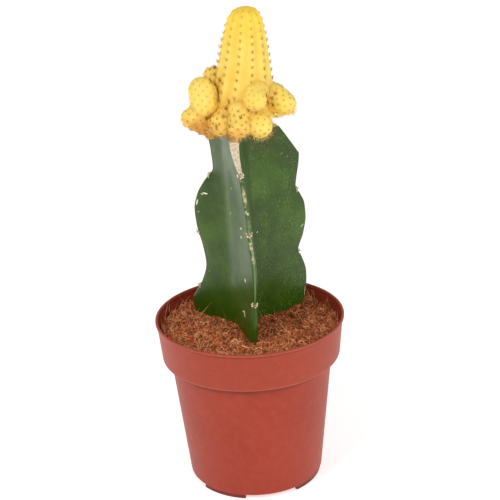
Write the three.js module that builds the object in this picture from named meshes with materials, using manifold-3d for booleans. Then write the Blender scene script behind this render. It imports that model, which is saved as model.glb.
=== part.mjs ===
// A potted moon cactus: a yellow, chlorophyll-free scion with round offsets, grafted on the flat
// top of a green three-winged rootstock, which stands in coir potting mix in a nursery pot.
// Millimetres, +Z up. The origin is the middle of the pot's foot circle, on the ground.

import * as THREE from "three";
import { mergeVertices } from "three/addons/utils/BufferGeometryUtils.js";
import Module from "manifold-3d";

const wasm = await Module();
wasm.setup();

// ---------------------------------------------------------------- driving dimensions

const GAP = 0.3; // clearance between pieces that touch on the real plant
const FINEST = 0.02; // edges shorter than this are drawn together
const TAU = 2 * Math.PI;

const POT = {
  height: 78,
  rimRadius: 42.5, // outside, at the very top
  wall: 0.9,
  lipHeight: 1.2, // the thin bead round the rim
  lipOverhang: 0.3,
  lipRound: 0.3,
  bandHeight: 18.5, // the deep collar below the rim
  bandBottomRadius: 40.2,
  bandCorner: 0.8, // rounding of the collar's lower edge
  bodyTopRadius: 36.6,
  bodyBottomRadius: 30.5,
  heel: 0.6, // bevel where the body meets its floor
  footHeight: 2,
  footRadius: 29.9,
  footWidth: 1.6,
  footCount: 4,
  footArch: 48, // degrees of arch between two feet
  archMiddle: -77, // bearing of the front arch, degrees
  floor: 1.2,
  drainRadius: 3.2, // one drain hole beside each foot arch
  drainCircle: 21,
  drainSegments: 16,
  centreDrainRadius: 4,
  segments: 64,
};

const SOIL = {
  top: 72.6, // level of the mix at the pot's wall
  mound: 1.3, // rise towards the stem
  grain: 0.9, // height of the crumbs
  waves: 0.4, // height of the mix's slow waves
  rings: 11,
  segments: 52,
};

const STEM = {
  bottom: 50,
  top: 163.5, // the flat cut that carries the scion
  levels: 37,
  pointsPerRib: 12,
  marginRadius: 1.1, // half the thickness of a rib's blunt edge
  flankPower: 0.85, // below 1 the rib's flanks bulge
  fillet: 0.12, // share of the thickness that is added close to the groove
  filletPower: 8,
  edgeCrowding: 1.5, // above 1 the points of a section lie closer together at the margin
  leanFrom: [-2.1, 4.0], // middle of the stem at the soil, and at the graft
  leanTo: [-2.0, 2.0],
  leanStart: 73,
};

// Each rib: its bearing in degrees, the reach of its wavy margin by height, the heights of its
// areoles, and the knife cut that bevels its top, as [height, reach] at the cut's two ends.
const RIBS = {
  front: {
    bearing: -90,
    margin: [[50, 8], [61, 19], [73, 26.7], [80, 27.6], [91, 24.4], [97, 26.2], [108, 27.4],
      [123.5, 24.4], [129, 26.2], [138, 27], [150.5, 24], [163.5, 24.6]],
    areoles: [91.2, 124.3, 150.9],
    cut: [[151.4, 24], [163.5, 17.6]],
  },
  right: {
    bearing: 22,
    margin: [[50, 10], [61.5, 22], [72.2, 29.6], [80.5, 33.5], [88.7, 34.5], [96.6, 32.2],
      [100.4, 30.5], [108.1, 33.5], [115.1, 34.7], [122.9, 33.7], [127.8, 31.4], [132.3, 28.8],
      [145.7, 30], [163.5, 29.4]],
    areoles: [99.5, 130.4],
    cut: [[148.3, 29.7], [163.5, 18.6]],
  },
  left: {
    bearing: 142,
    margin: [[50, 5.7], [61.6, 17.9], [73.3, 26], [79.3, 26.8], [84.4, 24.3], [90.5, 20.7],
      [99, 18.3], [107.4, 19.5], [117.4, 22.3], [125, 23.2], [131.5, 21.7], [137.6, 18.3],
      [145.1, 13.1], [152.6, 14.1], [163.5, 17]],
    areoles: [87.5, 113.9, 141.1],
    cut: [[157.1, 15.7], [163.5, 12.4]],
  },
};
const VALLEY = [[50, 4], [64, 5.8], [73, 6.4], [120, 6.3], [163.5, 6.2]]; // reach of the grooves
const TWIST = [[50, 8], [73, 8], [91, 11], [108, 10.8], [123.5, 8.7], [149.6, 3], [163.5, -3]];

// The areoles on the rootstock: a sunk corky pad and a fan of short spines.
const AREOLE = {
  padRadius: 1.3,
  padSunk: 0.5,
  spine: 2.2,
  spineRadius: 0.28,
  spines: 3,
  fan: 90, // degrees from the first spine to the last
  fanSway: 12,
  lowestRise: -20,
  riseRange: 55,
};

const COLUMN = {
  height: 53.2,
  lean: 0.062, // shift to +X for each millimetre of height
  base: [0.8, 0.5], // middle of the column at the graft
  // Outside radius by height above the graft.
  outline: [[0, 8.6], [1.2, 11.2], [4, 12.8], [9, 13.3], [14, 13.1], [24, 12], [30.3, 11],
    [36.3, 10], [43.3, 8.6], [47, 7.7], [49.6, 6.6], [51.5, 5], [52.6, 3.1], [53.1, 1.4], [53.2, 0]],
  ribs: 12,
  ribBearing: -101,
  twist: [[0, -11], [14, -8], [32, -1], [40, 0], [53.2, 0]], // of the ribs, degrees
  groove: 1, // depth of the valleys between ribs
  tubercle: 0.3, // swelling round each areole
  pitches: [[0, 3.8], [22, 3.8], [32, 3.1], [53.2, 3.1]], // areole spacing by height
  firstAreole: 49.9,
  lastAreole: 5,
  levels: 26,
  segments: 48,
};

const SPINE = { length: 1.7, radius: 0.26, splay: 34, sunk: 0.85 }; // on the scion
const CLEARANCE = 0.8; // from a spine to a neighbouring piece

// The offsets, as stubby cylinders with round ends: where the middles of the end in the column and
// of the free end lie, as bearing in degrees, height above the graft and reach from the column's
// middle.
const OFFSETS = [
  { name: "offset_left_upper", root: [203, 14.6, 18.2], tip: [197, 19.8, 18.3], radius: 5.9 },
  { name: "offset_left_lower", root: [204, 3.4, 14.5], tip: [206, 9.6, 24.5], radius: 4.2 },
  { name: "offset_left_back", root: [165, 19.6, 9], tip: [160, 23, 14], radius: 4.1 },
  { name: "offset_front_right", root: [300, 19, 10.3], tip: [290, 17.1, 14.3], radius: 4.7 },
  { name: "offset_right", root: [350, 15.6, 12.6], tip: [342, 12.6, 18.1], radius: 5.1 },
  { name: "offset_right_upper", root: [16, 14.7, 10], tip: [10, 15.7, 14.6], radius: 3.4 },
  { name: "offset_front_right_lower", root: [304, 8, 8], tip: [297, 5.8, 15.3], radius: 5.2 },
  { name: "offset_front_lower", root: [262, 11.5, 10.5], tip: [263, 6, 15.5], radius: 4.7 },
  { name: "offset_front_left_lower", root: [225, 8.2, 8], tip: [231, 6.4, 15.4], radius: 4.8 },
  { name: "offset_back_right", root: [38, 7.6, 9], tip: [34, 7.4, 16.4], radius: 4.9 },
  { name: "offset_back_middle", root: [80, 16, 9], tip: [84, 19, 16.6], radius: 5.2 },
  { name: "offset_back_lower", root: [100, 6, 9], tip: [96, 6, 15.2], radius: 4.2 },
  { name: "offset_back_left", root: [136, 8, 9], tip: [138, 10.4, 17.2], radius: 5 },
];
const OFFSET_SHAPE = {
  ribs: 9,
  groove: 0.35,
  segments: 16,
  endRings: [20, 42, 66], // latitudes of the round end, degrees
  waist: 1.02, // radius halfway along, as a share of the full radius
  spines: 10, // at most, on each offset
};

const COLOURS = {
  pot: 0xb5533f,
  soil: 0x8a5636,
  stem: 0x3f6b2c,
  scion: 0xf6cf45,
};

// ---------------------------------------------------------------- small helpers

const radians = (degrees) => THREE.MathUtils.degToRad(degrees);

// A repeatable sequence of numbers from 0 to 1.
function seededDraws(seed) {
  let state = seed;
  return () => {
    state = (state * 1664525 + 1013904223) % 4294967296;
    return state / 4294967296;
  };
}

// A smooth curve through [position, value] knots that never overshoots between two knots.
function curveThrough(knots) {
  const slope = (i) => (knots[i + 1][1] - knots[i][1]) / (knots[i + 1][0] - knots[i][0]);
  const tangents = knots.map((_, i) => {
    if (i === 0 || i === knots.length - 1) return 0;
    const before = slope(i - 1);
    const after = slope(i);
    return before * after <= 0 ? 0 : (2 * before * after) / (before + after);
  });
  return (position) => {
    const last = knots.length - 2;
    let i = 0;
    while (i < last && position > knots[i + 1][0]) i++;
    const span = knots[i + 1][0] - knots[i][0];
    const t = THREE.MathUtils.clamp((position - knots[i][0]) / span, 0, 1);
    const a = (1 + 2 * t) * (1 - t) ** 2 * knots[i][1] + t * (1 - t) ** 2 * span * tangents[i];
    return a + t * t * (3 - 2 * t) * knots[i + 1][1] + t * t * (t - 1) * span * tangents[i + 1];
  };
}

// Turns a three.js geometry, closed once its corners are merged, into a solid.
function solidOf(geometry) {
  const bare = geometry.clone();
  bare.deleteAttribute("normal");
  bare.deleteAttribute("uv");
  const merged = mergeVertices(bare, 1e-3);
  const index = Array.from(merged.index.array);
  const kept = [];
  for (let i = 0; i < index.length; i += 3) {
    const [a, b, c] = index.slice(i, i + 3);
    if (a !== b && b !== c && c !== a) kept.push(a, b, c);
  }
  const mesh = new wasm.Mesh({
    numProp: 3,
    vertProperties: Float32Array.from(merged.attributes.position.array),
    triVerts: Uint32Array.from(kept),
  });
  return new wasm.Manifold(mesh);
}

// Turns a solid into a named mesh with its own material.
function meshOf(name, solid, colour, roughness) {
  const { vertProperties, triVerts, numProp } = solid.simplify(FINEST).getMesh();
  const positions = new Float32Array((vertProperties.length / numProp) * 3);
  for (let i = 0; i * numProp < vertProperties.length; i++)
    positions.set(vertProperties.subarray(i * numProp, i * numProp + 3), i * 3);
  const geometry = new THREE.BufferGeometry();
  geometry.setAttribute("position", new THREE.BufferAttribute(positions, 3));
  geometry.setIndex(new THREE.BufferAttribute(Uint32Array.from(triVerts), 1));
  geometry.computeVertexNormals();
  const material = new THREE.MeshStandardMaterial({ color: colour, roughness, metalness: 0 });
  const mesh = new THREE.Mesh(geometry, material);
  mesh.name = name;
  return mesh;
}

// Moves every vertex of a geometry to where place puts it.
function reshape(geometry, place) {
  const positions = geometry.attributes.position;
  const point = new THREE.Vector3();
  for (let i = 0; i < positions.count; i++) {
    point.fromBufferAttribute(positions, i);
    place(point, i);
    positions.setXYZ(i, point.x, point.y, point.z);
  }
  return geometry;
}

// A lathe about +Z of [radius, height] points, from the bottom up on the outside.
function latheUp(points, segments, start = 0, sweep = TAU) {
  const profile = points.map(([radius, height]) => new THREE.Vector2(radius, height));
  return new THREE.LatheGeometry(profile, segments, start, sweep).rotateX(Math.PI / 2);
}

const joined = (solids) => wasm.Manifold.union(solids);

// A three-sided spine from a point along a direction, its root sunk into what it grows from.
function spineSolid(from, direction, length, radius) {
  const { sunk } = SPINE;
  const cone = new THREE.ConeGeometry(radius, length + sunk, 3);
  cone.translate(0, (length - sunk) / 2, 0);
  const turn = new THREE.Quaternion().setFromUnitVectors(new THREE.Vector3(0, 1, 0), direction);
  cone.applyQuaternion(turn).translate(from.x, from.y, from.z);
  return solidOf(cone);
}

// ---------------------------------------------------------------- the pot

const bandBottom = POT.height - POT.bandHeight;
const lipBottom = POT.height - POT.lipHeight;

// Outside radius of the collar at a height, the lip left out.
function bandRadius(height) {
  const share = (height - bandBottom) / POT.bandHeight;
  const topRadius = POT.rimRadius - POT.lipOverhang;
  return POT.bandBottomRadius + share * (topRadius - POT.bandBottomRadius);
}

// Outside radius of the tapered body at a height.
function bodyRadius(height) {
  const share = (height - POT.footHeight) / (bandBottom - POT.footHeight);
  return POT.bodyBottomRadius + share * (POT.bodyTopRadius - POT.bodyBottomRadius);
}

function potWall() {
  const floorTop = POT.footHeight + POT.floor;
  const ledgeTop = bandBottom + POT.wall;
  const corner = POT.bandCorner;
  return [
    [POT.centreDrainRadius, POT.footHeight],
    [POT.bodyBottomRadius - POT.heel, POT.footHeight],
    [POT.bodyBottomRadius, POT.footHeight + POT.heel],
    [POT.bodyTopRadius, bandBottom],
    [POT.bandBottomRadius - corner, bandBottom],
    [POT.bandBottomRadius, bandBottom + corner],
    [bandRadius(lipBottom), lipBottom],
    [POT.rimRadius, lipBottom + POT.lipRound],
    [POT.rimRadius, POT.height - POT.lipRound],
    [POT.rimRadius - POT.lipRound, POT.height],
    [POT.rimRadius - POT.wall, POT.height],
    [bandRadius(POT.height) - POT.wall, POT.height - 2 * POT.lipRound],
    [bandRadius(ledgeTop) - POT.wall, ledgeTop],
    [bodyRadius(ledgeTop) - POT.wall, ledgeTop],
    [bodyRadius(floorTop) - POT.wall, floorTop],
    [POT.centreDrainRadius, floorTop],
    [POT.centreDrainRadius, POT.footHeight],
  ];
}

function potSolid() {
  const footTop = POT.footHeight + POT.floor / 3; // sunk into the floor
  const footInner = POT.footRadius - POT.footWidth;
  const archWidth = 2 * POT.footRadius * Math.sin(radians(POT.footArch / 2));
  const footRing = [
    [footInner, 0],
    [POT.footRadius, 0],
    [POT.footRadius, footTop],
    [footInner, footTop],
    [footInner, 0],
  ];
  let pot = solidOf(latheUp(potWall(), POT.segments));
  let feet = solidOf(latheUp(footRing, POT.segments));
  for (let i = 0; i < POT.footCount; i++) {
    const bearing = radians(POT.archMiddle + (i * 360) / POT.footCount);
    const arch = new THREE.BoxGeometry(POT.footRadius / 2, archWidth, 4 * POT.footHeight);
    arch.translate(POT.footRadius, 0, 0).rotateZ(bearing);
    feet = feet.subtract(solidOf(arch));
    const { drainRadius, drainSegments } = POT;
    const drain = new THREE.CylinderGeometry(drainRadius, drainRadius, 4 * POT.floor, drainSegments);
    drain.rotateX(Math.PI / 2).translate(POT.drainCircle, 0, POT.footHeight).rotateZ(bearing);
    pot = pot.subtract(solidOf(drain));
  }
  return pot.add(feet);
}

// ---------------------------------------------------------------- the rootstock

const valleyReach = curveThrough(VALLEY);
const twistAt = curveThrough(TWIST);
const ribs = Object.values(RIBS).map((rib) => ({ ...rib, reach: curveThrough(rib.margin) }));

// The middle of the stem at a height.
function stemMiddle(height) {
  const share = (height - STEM.leanStart) / (STEM.top - STEM.leanStart);
  const along = (i) => STEM.leanFrom[i] + share * (STEM.leanTo[i] - STEM.leanFrom[i]);
  return new THREE.Vector3(along(0), along(1), height);
}

// Half the thickness of a rib at a depth below its margin.
function ribHalfThickness(depth, fullDepth, rootHalfThickness) {
  const edge = STEM.marginRadius;
  if (depth < edge) return Math.sqrt(edge * edge - (edge - depth) ** 2);
  const share = (depth - edge) / (fullDepth - edge);
  const bulge = (1 - STEM.fillet) * share ** STEM.flankPower;
  return edge + (rootHalfThickness - edge) * (bulge + STEM.fillet * share ** STEM.filletPower);
}

// A point on the stem: side runs from -1, in the groove before a rib, over its margin at 0, to 1.
// grow is how far the surface is moved outwards.
function stemPoint(rib, side, height, grow) {
  const valley = valleyReach(height) + grow;
  const depthFull = rib.reach(height) + grow - valley / 2;
  const depth = depthFull * Math.abs(side) ** STEM.edgeCrowding;
  const along = rib.reach(height) + grow - depth;
  const half = ribHalfThickness(depth, depthFull, valley * Math.sin(Math.PI / 3) - grow) + grow;
  const across = side === 0 ? 0 : Math.sign(side) * half;
  const bearing = radians(rib.bearing + twistAt(height));
  const point = stemMiddle(height);
  point.x += along * Math.cos(bearing) - across * Math.sin(bearing);
  point.y += along * Math.sin(bearing) + across * Math.cos(bearing);
  return point;
}

// The stem's body: a cylinder whose vertices are moved onto the three ribs.
function stemBody(bottom, top, levels, grow) {
  const perRib = STEM.pointsPerRib;
  const around = perRib * ribs.length;
  const geometry = new THREE.CylinderGeometry(1, 1, 1, around, levels).rotateX(Math.PI / 2);
  reshape(geometry, (point) => {
    const height = bottom + (point.z + 0.5) * (top - bottom);
    if (Math.hypot(point.x, point.y) < 0.5) {
      point.copy(stemMiddle(height));
      return;
    }
    const turn = Math.round((Math.atan2(point.y, point.x) / TAU) * around + around) % around;
    const rib = ribs[Math.floor(turn / perRib)];
    const side = (2 * (turn % perRib)) / perRib - 1;
    point.copy(stemPoint(rib, side, height, grow));
  });
  return solidOf(geometry);
}

// The block that the knife takes off a rib's top, above the line of its cut.
function bevelBlock(rib) {
  const [[lowHeight, lowReach], [highHeight, highReach]] = rib.cut;
  const bearing = radians(rib.bearing + twistAt((lowHeight + highHeight) / 2));
  const size = 60;
  const slope = Math.atan2(lowReach - highReach, highHeight - lowHeight);
  const block = new THREE.BoxGeometry(size, size, size);
  block.translate(size / 2, 0, 0).rotateY(-slope).translate(highReach, 0, highHeight);
  block.rotateZ(bearing);
  const middle = stemMiddle(highHeight);
  return solidOf(block.translate(middle.x, middle.y, 0));
}

// The low corky pad and the short spines of one areole on a rib's margin.
function stemAreole(rib, height, draw) {
  const bearing = radians(rib.bearing + twistAt(height));
  const seat = stemPoint(rib, 0, height, 0);
  const outward = new THREE.Vector3(Math.cos(bearing), Math.sin(bearing), 0);
  const pad = new THREE.SphereGeometry(AREOLE.padRadius, 6, 4);
  const middle = seat.clone().addScaledVector(outward, -AREOLE.padSunk);
  pad.translate(middle.x, middle.y, middle.z);
  const pieces = [solidOf(pad)];
  for (let i = 0; i < AREOLE.spines; i++) {
    const share = i / (AREOLE.spines - 1) - 0.5;
    const fan = radians(AREOLE.fan * share + AREOLE.fanSway * (draw() - 0.5));
    const rise = radians(AREOLE.lowestRise + AREOLE.riseRange * draw());
    const direction = outward.clone().applyAxisAngle(new THREE.Vector3(0, 0, 1), fan);
    direction.multiplyScalar(Math.cos(rise)).setZ(Math.sin(rise));
    pieces.push(spineSolid(seat, direction, AREOLE.spine, AREOLE.spineRadius));
  }
  return pieces;
}

function stemSolid() {
  const draw = seededDraws(11);
  let stem = stemBody(STEM.bottom, STEM.top, STEM.levels, 0);
  for (const rib of ribs) stem = stem.subtract(bevelBlock(rib));
  const areoles = ribs.flatMap((rib) =>
    rib.areoles.flatMap((height) => stemAreole(rib, height, draw)),
  );
  return joined([stem, ...areoles]);
}

// ---------------------------------------------------------------- the potting mix

// The height of the mix at a place: a low, slightly wavy mound.
function soilHeight(x, y) {
  const wallRadius = bandRadius(SOIL.top) - POT.wall;
  const mound = SOIL.mound * (1 - (Math.hypot(x, y) / wallRadius) ** 2);
  const waves = Math.sin(0.21 * x + 0.9) * Math.cos(0.17 * y - 0.4);
  return SOIL.top + mound + SOIL.waves * waves;
}

function soilSolid() {
  const floorTop = POT.footHeight + POT.floor + GAP;
  const ledge = bandBottom + POT.wall + GAP;
  const inset = POT.wall + GAP;
  const topRadius = bandRadius(SOIL.top) - inset;
  const profile = [
    [0, floorTop],
    [bodyRadius(floorTop) - inset, floorTop],
    [bodyRadius(ledge) - inset, ledge],
    [bandRadius(ledge) - inset, ledge],
  ];
  for (let i = SOIL.rings; i >= 0; i--) profile.push([(topRadius * i) / SOIL.rings, SOIL.top]);
  const plug = latheUp(profile, SOIL.segments);
  const draw = seededDraws(5);
  const crumbs = Array.from({ length: profile.length * SOIL.segments }, draw);
  reshape(plug, (point, i) => {
    if (point.z < SOIL.top - 0.01) return;
    const onAxis = Math.hypot(point.x, point.y) < 1e-6;
    const crumb = onAxis ? 0.5 : crumbs[i % crumbs.length];
    point.z = soilHeight(point.x, point.y) + SOIL.grain * (crumb - 0.5);
  });
  const stemHole = stemBody(STEM.bottom - GAP, STEM.top, STEM.levels, GAP);
  return solidOf(plug).subtract(stemHole);
}

// ---------------------------------------------------------------- the scion

const columnOutline = curveThrough(COLUMN.outline);
const columnPitch = curveThrough(COLUMN.pitches);
const columnTwist = curveThrough(COLUMN.twist);

// The heights of the areoles on even and on odd ribs, which stand half a step apart.
const areoleHeights = [0, 0.5].map((shift) => {
  const heights = [];
  let height = COLUMN.firstAreole - shift * columnPitch(COLUMN.firstAreole);
  while (height > COLUMN.lastAreole) {
    heights.push(height);
    height -= columnPitch(height);
  }
  return heights;
});

// The middle of the column at a height above the graft.
function columnMiddle(height) {
  const [x, y] = COLUMN.base;
  return new THREE.Vector3(x + COLUMN.lean * height, y, STEM.top + GAP + height);
}

// The bearing of one of the column's ribs at a height.
const ribBearing = (rib, height) =>
  radians(COLUMN.ribBearing + columnTwist(height) + (rib * 360) / COLUMN.ribs);

// The column's radius at a bearing and height, with its ribs and the tubercles along them.
function columnRadius(bearing, height) {
  const phase = COLUMN.ribs * (bearing - ribBearing(0, height));
  const crest = Math.cos(phase);
  const heights = areoleHeights[Math.abs(Math.round(phase / TAU)) % 2];
  const nearest = Math.min(...heights.map((areole) => Math.abs(areole - height)));
  const step = Math.min(nearest / columnPitch(height), 0.5);
  const outline = columnOutline(height);
  const groove = COLUMN.groove * Math.min(1, outline / 9) * (0.5 - 0.5 * crest);
  const swelling = COLUMN.tubercle * Math.max(0, crest) ** 2 * Math.cos(TAU * step);
  const share = Math.min(1, outline / 6);
  return outline - groove + swelling * share;
}

// The column's body, moved outwards by grow.
function columnBody(grow) {
  const profile = [];
  for (let i = 0; i <= COLUMN.levels; i++) {
    const share = Math.sin(((i / COLUMN.levels) * Math.PI) / 2) ** 0.92;
    profile.push([columnOutline(COLUMN.height * share), COLUMN.height * share]);
  }
  profile[0][1] = 0;
  const lathe = latheUp([[0, 0], ...profile], COLUMN.segments);
  reshape(lathe, (point) => {
    const height = point.z;
    const onAxis = Math.hypot(point.x, point.y) < 1e-6;
    const bearing = Math.atan2(point.y, point.x);
    const radius = onAxis ? 0 : columnRadius(bearing, height) + grow;
    const middle = columnMiddle(height);
    point.set(middle.x + radius * Math.cos(bearing), middle.y + radius * Math.sin(bearing), middle.z);
    if (grow && height < 0.01) point.z -= grow;
    if (grow && height > COLUMN.height - 0.01) point.z += grow;
  });
  return solidOf(lathe);
}

// A point given by bearing, height above the graft and reach from the column's middle.
function roundColumn([bearing, height, reach]) {
  const point = columnMiddle(height);
  point.x += reach * Math.cos(radians(bearing));
  point.y += reach * Math.sin(radians(bearing));
  return point;
}

const offsets = OFFSETS.map((offset) => {
  const root = roundColumn(offset.root);
  const tip = roundColumn(offset.tip);
  return { ...offset, root, tip, axis: tip.clone().sub(root).normalize() };
});

// How far a point is from an offset's skin.
function clearOfOffset(point, offset) {
  const line = new THREE.Line3(offset.root, offset.tip);
  const nearest = line.closestPointToPoint(point, true, new THREE.Vector3());
  return nearest.distanceTo(point) - offset.radius;
}

// How far a point is from the column's skin, roughly, with its grooves left out.
function clearOfColumn(point) {
  const height = THREE.MathUtils.clamp(point.z - STEM.top - GAP, 0, COLUMN.height);
  const middle = columnMiddle(height);
  return Math.hypot(point.x - middle.x, point.y - middle.y) - columnOutline(height);
}

// The direction of a spine that leans away from outward, to the side given by turn.
function splayed(outward, turn) {
  const up = new THREE.Vector3(0, 0, 1);
  const side = new THREE.Vector3().crossVectors(outward, up).multiplyScalar(Math.cos(turn));
  side.addScaledVector(up, Math.sin(turn));
  const splay = radians(SPINE.splay);
  const direction = outward.clone().multiplyScalar(Math.cos(splay));
  return direction.addScaledVector(side, Math.sin(splay)).normalize();
}

function columnSolid() {
  const isClear = (point) => offsets.every((offset) => clearOfOffset(point, offset) > CLEARANCE);
  const pieces = [columnBody(0)];
  for (let rib = 0; rib < COLUMN.ribs; rib++) {
    areoleHeights[rib % 2].forEach((height, i) => {
      const bearing = ribBearing(rib, height);
      const outward = new THREE.Vector3(Math.cos(bearing), Math.sin(bearing), 0);
      const seat = columnMiddle(height).addScaledVector(outward, columnRadius(bearing, height));
      const direction = splayed(outward, i * Math.PI + 0.7 * Math.sin(rib + height));
      const end = seat.clone().addScaledVector(direction, SPINE.length);
      if (isClear(seat) && isClear(end))
        pieces.push(spineSolid(seat, direction, SPINE.length, SPINE.radius));
    });
  }
  return joined(pieces);
}

// An offset's outline, as [reach, distance along its axis from the root].
function offsetProfile(radius, length) {
  const rings = OFFSET_SHAPE.endRings.map((latitude) => {
    const angle = radians(latitude);
    return [radius * Math.cos(angle), radius * Math.sin(angle)];
  });
  return [
    [0, -radius],
    ...rings.map(([reach, rise]) => [reach, -rise]).reverse(),
    [radius, 0],
    [OFFSET_SHAPE.waist * radius, length / 2],
    [radius, length],
    ...rings.map(([reach, rise]) => [reach, length + rise]),
    [0, length + radius],
  ];
}

// An offset's body along its own axis, moved outwards by grow.
function offsetBody(offset, grow) {
  const length = offset.root.distanceTo(offset.tip);
  const profile = offsetProfile(offset.radius + grow, length);
  const lathe = latheUp(profile, OFFSET_SHAPE.segments);
  reshape(lathe, (point) => {
    const reach = Math.hypot(point.x, point.y);
    const bearing = Math.atan2(point.y, point.x);
    const crest = Math.cos(OFFSET_SHAPE.ribs * bearing);
    const groove = grow ? 0 : OFFSET_SHAPE.groove * (0.5 - 0.5 * crest) * (reach / offset.radius);
    const scale = reach > 0 ? (reach - groove) / reach : 1;
    point.x *= scale;
    point.y *= scale;
  });
  const turn = new THREE.Quaternion().setFromUnitVectors(new THREE.Vector3(0, 0, 1), offset.axis);
  lathe.applyQuaternion(turn).translate(offset.root.x, offset.root.y, offset.root.z);
  return solidOf(lathe);
}

// The spines of an offset, evenly spread over its free side.
function offsetSpines(offset, isClear) {
  const length = offset.root.distanceTo(offset.tip);
  const total = length + offset.radius;
  const turn = new THREE.Quaternion().setFromUnitVectors(new THREE.Vector3(0, 0, 1), offset.axis);
  const golden = Math.PI * (3 - Math.sqrt(5));
  const spines = [];
  const tries = 3 * OFFSET_SHAPE.spines;
  for (let i = 0; i < tries && spines.length < OFFSET_SHAPE.spines; i++) {
    const along = (total - GAP) * (1 - i / tries);
    const beyond = Math.max(0, along - length);
    const reach = Math.sqrt(offset.radius ** 2 - beyond ** 2);
    const local = new THREE.Vector3(Math.cos(golden * i) * reach, Math.sin(golden * i) * reach, along);
    const outward = new THREE.Vector3(local.x, local.y, beyond).normalize();
    local.addScaledVector(outward, -OFFSET_SHAPE.groove / 2);
    local.applyQuaternion(turn).add(offset.root);
    outward.applyQuaternion(turn);
    const end = local.clone().addScaledVector(outward, SPINE.length);
    if (isClear(local) && isClear(end))
      spines.push(spineSolid(local, outward, SPINE.length, SPINE.radius));
  }
  return spines;
}

// Each offset is cut back from the column, from the graft's plane and from the earlier offsets.
function offsetSolids() {
  const columnRoom = columnBody(GAP);
  const size = 2 * POT.rimRadius;
  const below = new THREE.BoxGeometry(size, size, size);
  below.translate(0, 0, STEM.top + GAP - size / 2);
  const taken = [columnRoom, solidOf(below)];
  return offsets.map((offset) => {
    let solid = offsetBody(offset, 0);
    for (const other of taken) solid = solid.subtract(other);
    const isClear = (point) =>
      clearOfColumn(point) > CLEARANCE &&
      point.z > STEM.top + CLEARANCE &&
      offsets.every((other) => other === offset || clearOfOffset(point, other) > CLEARANCE);
    solid = joined([solid, ...offsetSpines(offset, isClear)]);
    taken.push(offsetBody(offset, GAP));
    return { name: offset.name, solid };
  });
}

// ---------------------------------------------------------------- the plant in its pot

const plant = new THREE.Group();
plant.add(meshOf("pot", potSolid(), COLOURS.pot, 0.55));
plant.add(meshOf("potting_mix", soilSolid(), COLOURS.soil, 0.95));
plant.add(meshOf("rootstock", stemSolid(), COLOURS.stem, 0.45));
plant.add(meshOf("scion_column", columnSolid(), COLOURS.scion, 0.5));
for (const { name, solid } of offsetSolids()) plant.add(meshOf(name, solid, COLOURS.scion, 0.5));

export default plant;
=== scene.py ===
"""A potted moon cactus, finished for its portrait.

A yellow scion with round offsets stands grafted on a green three-winged rootstock, in coir
potting mix in a terracotta-coloured nursery pot. Lengths are in millimetres until a mesh is
finished, then in metres. The camera looks along +Y.
"""

from __future__ import annotations

import logging
import math
import random
from dataclasses import dataclass, field
from enum import Enum
from functools import partial
from typing import Callable, Iterable, Mapping, Sequence, Union

import bmesh
import bpy
from mathutils import Matrix, Quaternion, Vector, noise
from mathutils.bvhtree import BVHTree
from mathutils.kdtree import KDTree

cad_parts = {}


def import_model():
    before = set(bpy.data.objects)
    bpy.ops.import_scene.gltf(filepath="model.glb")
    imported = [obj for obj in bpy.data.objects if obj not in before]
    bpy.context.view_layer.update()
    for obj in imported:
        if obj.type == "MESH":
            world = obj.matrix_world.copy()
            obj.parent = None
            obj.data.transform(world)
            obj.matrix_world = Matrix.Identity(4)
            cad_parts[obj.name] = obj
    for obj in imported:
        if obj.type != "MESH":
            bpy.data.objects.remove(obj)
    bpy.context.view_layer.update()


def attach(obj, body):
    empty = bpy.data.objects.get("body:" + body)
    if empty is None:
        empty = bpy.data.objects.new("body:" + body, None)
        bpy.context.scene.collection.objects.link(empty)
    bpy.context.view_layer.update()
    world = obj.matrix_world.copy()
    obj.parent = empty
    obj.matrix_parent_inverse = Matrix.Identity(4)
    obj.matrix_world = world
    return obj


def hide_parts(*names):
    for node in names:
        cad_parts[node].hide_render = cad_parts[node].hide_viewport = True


log = logging.getLogger("moon_cactus")

MM = 0.001
TAU = 2 * math.pi
UP = Vector((0, 0, 1))
GOLDEN_TURN = math.pi * (3 - math.sqrt(5))

Knots = Sequence[tuple[float, float]]
Colour = tuple[float, float, float]
Span = tuple[float, float]
Seat = tuple[Vector, Vector]


# -------------------- numbers and curves


def smooth_step(low: float, high: float, value: float) -> float:
    """Eases from 0 where the value is low to 1 where it is high; high may be below low."""
    share = min(max((value - low) / (high - low), 0.0), 1.0)
    return share * share * (3 - 2 * share)


def curve_through(knots: Knots) -> Callable[[float], float]:
    """Makes a smooth curve that never overshoots between two knots.

    Args:
        knots: (position, value) pairs in rising order of position.

    Returns:
        A function of the position.
    """

    def slope(i: int) -> float:
        """Gives the slope of the span after knot i."""
        return (knots[i + 1][1] - knots[i][1]) / (knots[i + 1][0] - knots[i][0])

    tangents = [0.0] * len(knots)
    for i in range(1, len(knots) - 1):
        before, after = slope(i - 1), slope(i)
        if before * after > 0:
            tangents[i] = 2 * before * after / (before + after)

    def value_at(position: float) -> float:
        """Looks the curve up.

        Args:
            position: Where.

        Returns:
            The value there.
        """
        i = 0
        while i < len(knots) - 2 and position > knots[i + 1][0]:
            i += 1
        span = knots[i + 1][0] - knots[i][0]
        t = min(max((position - knots[i][0]) / span, 0.0), 1.0)
        start = (1 + 2 * t) * (1 - t) ** 2 * knots[i][1] + t * (1 - t) ** 2 * span * tangents[i]
        end = t * t * (3 - 2 * t) * knots[i + 1][1] + t * t * (t - 1) * span * tangents[i + 1]
        return start + end

    return value_at


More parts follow.
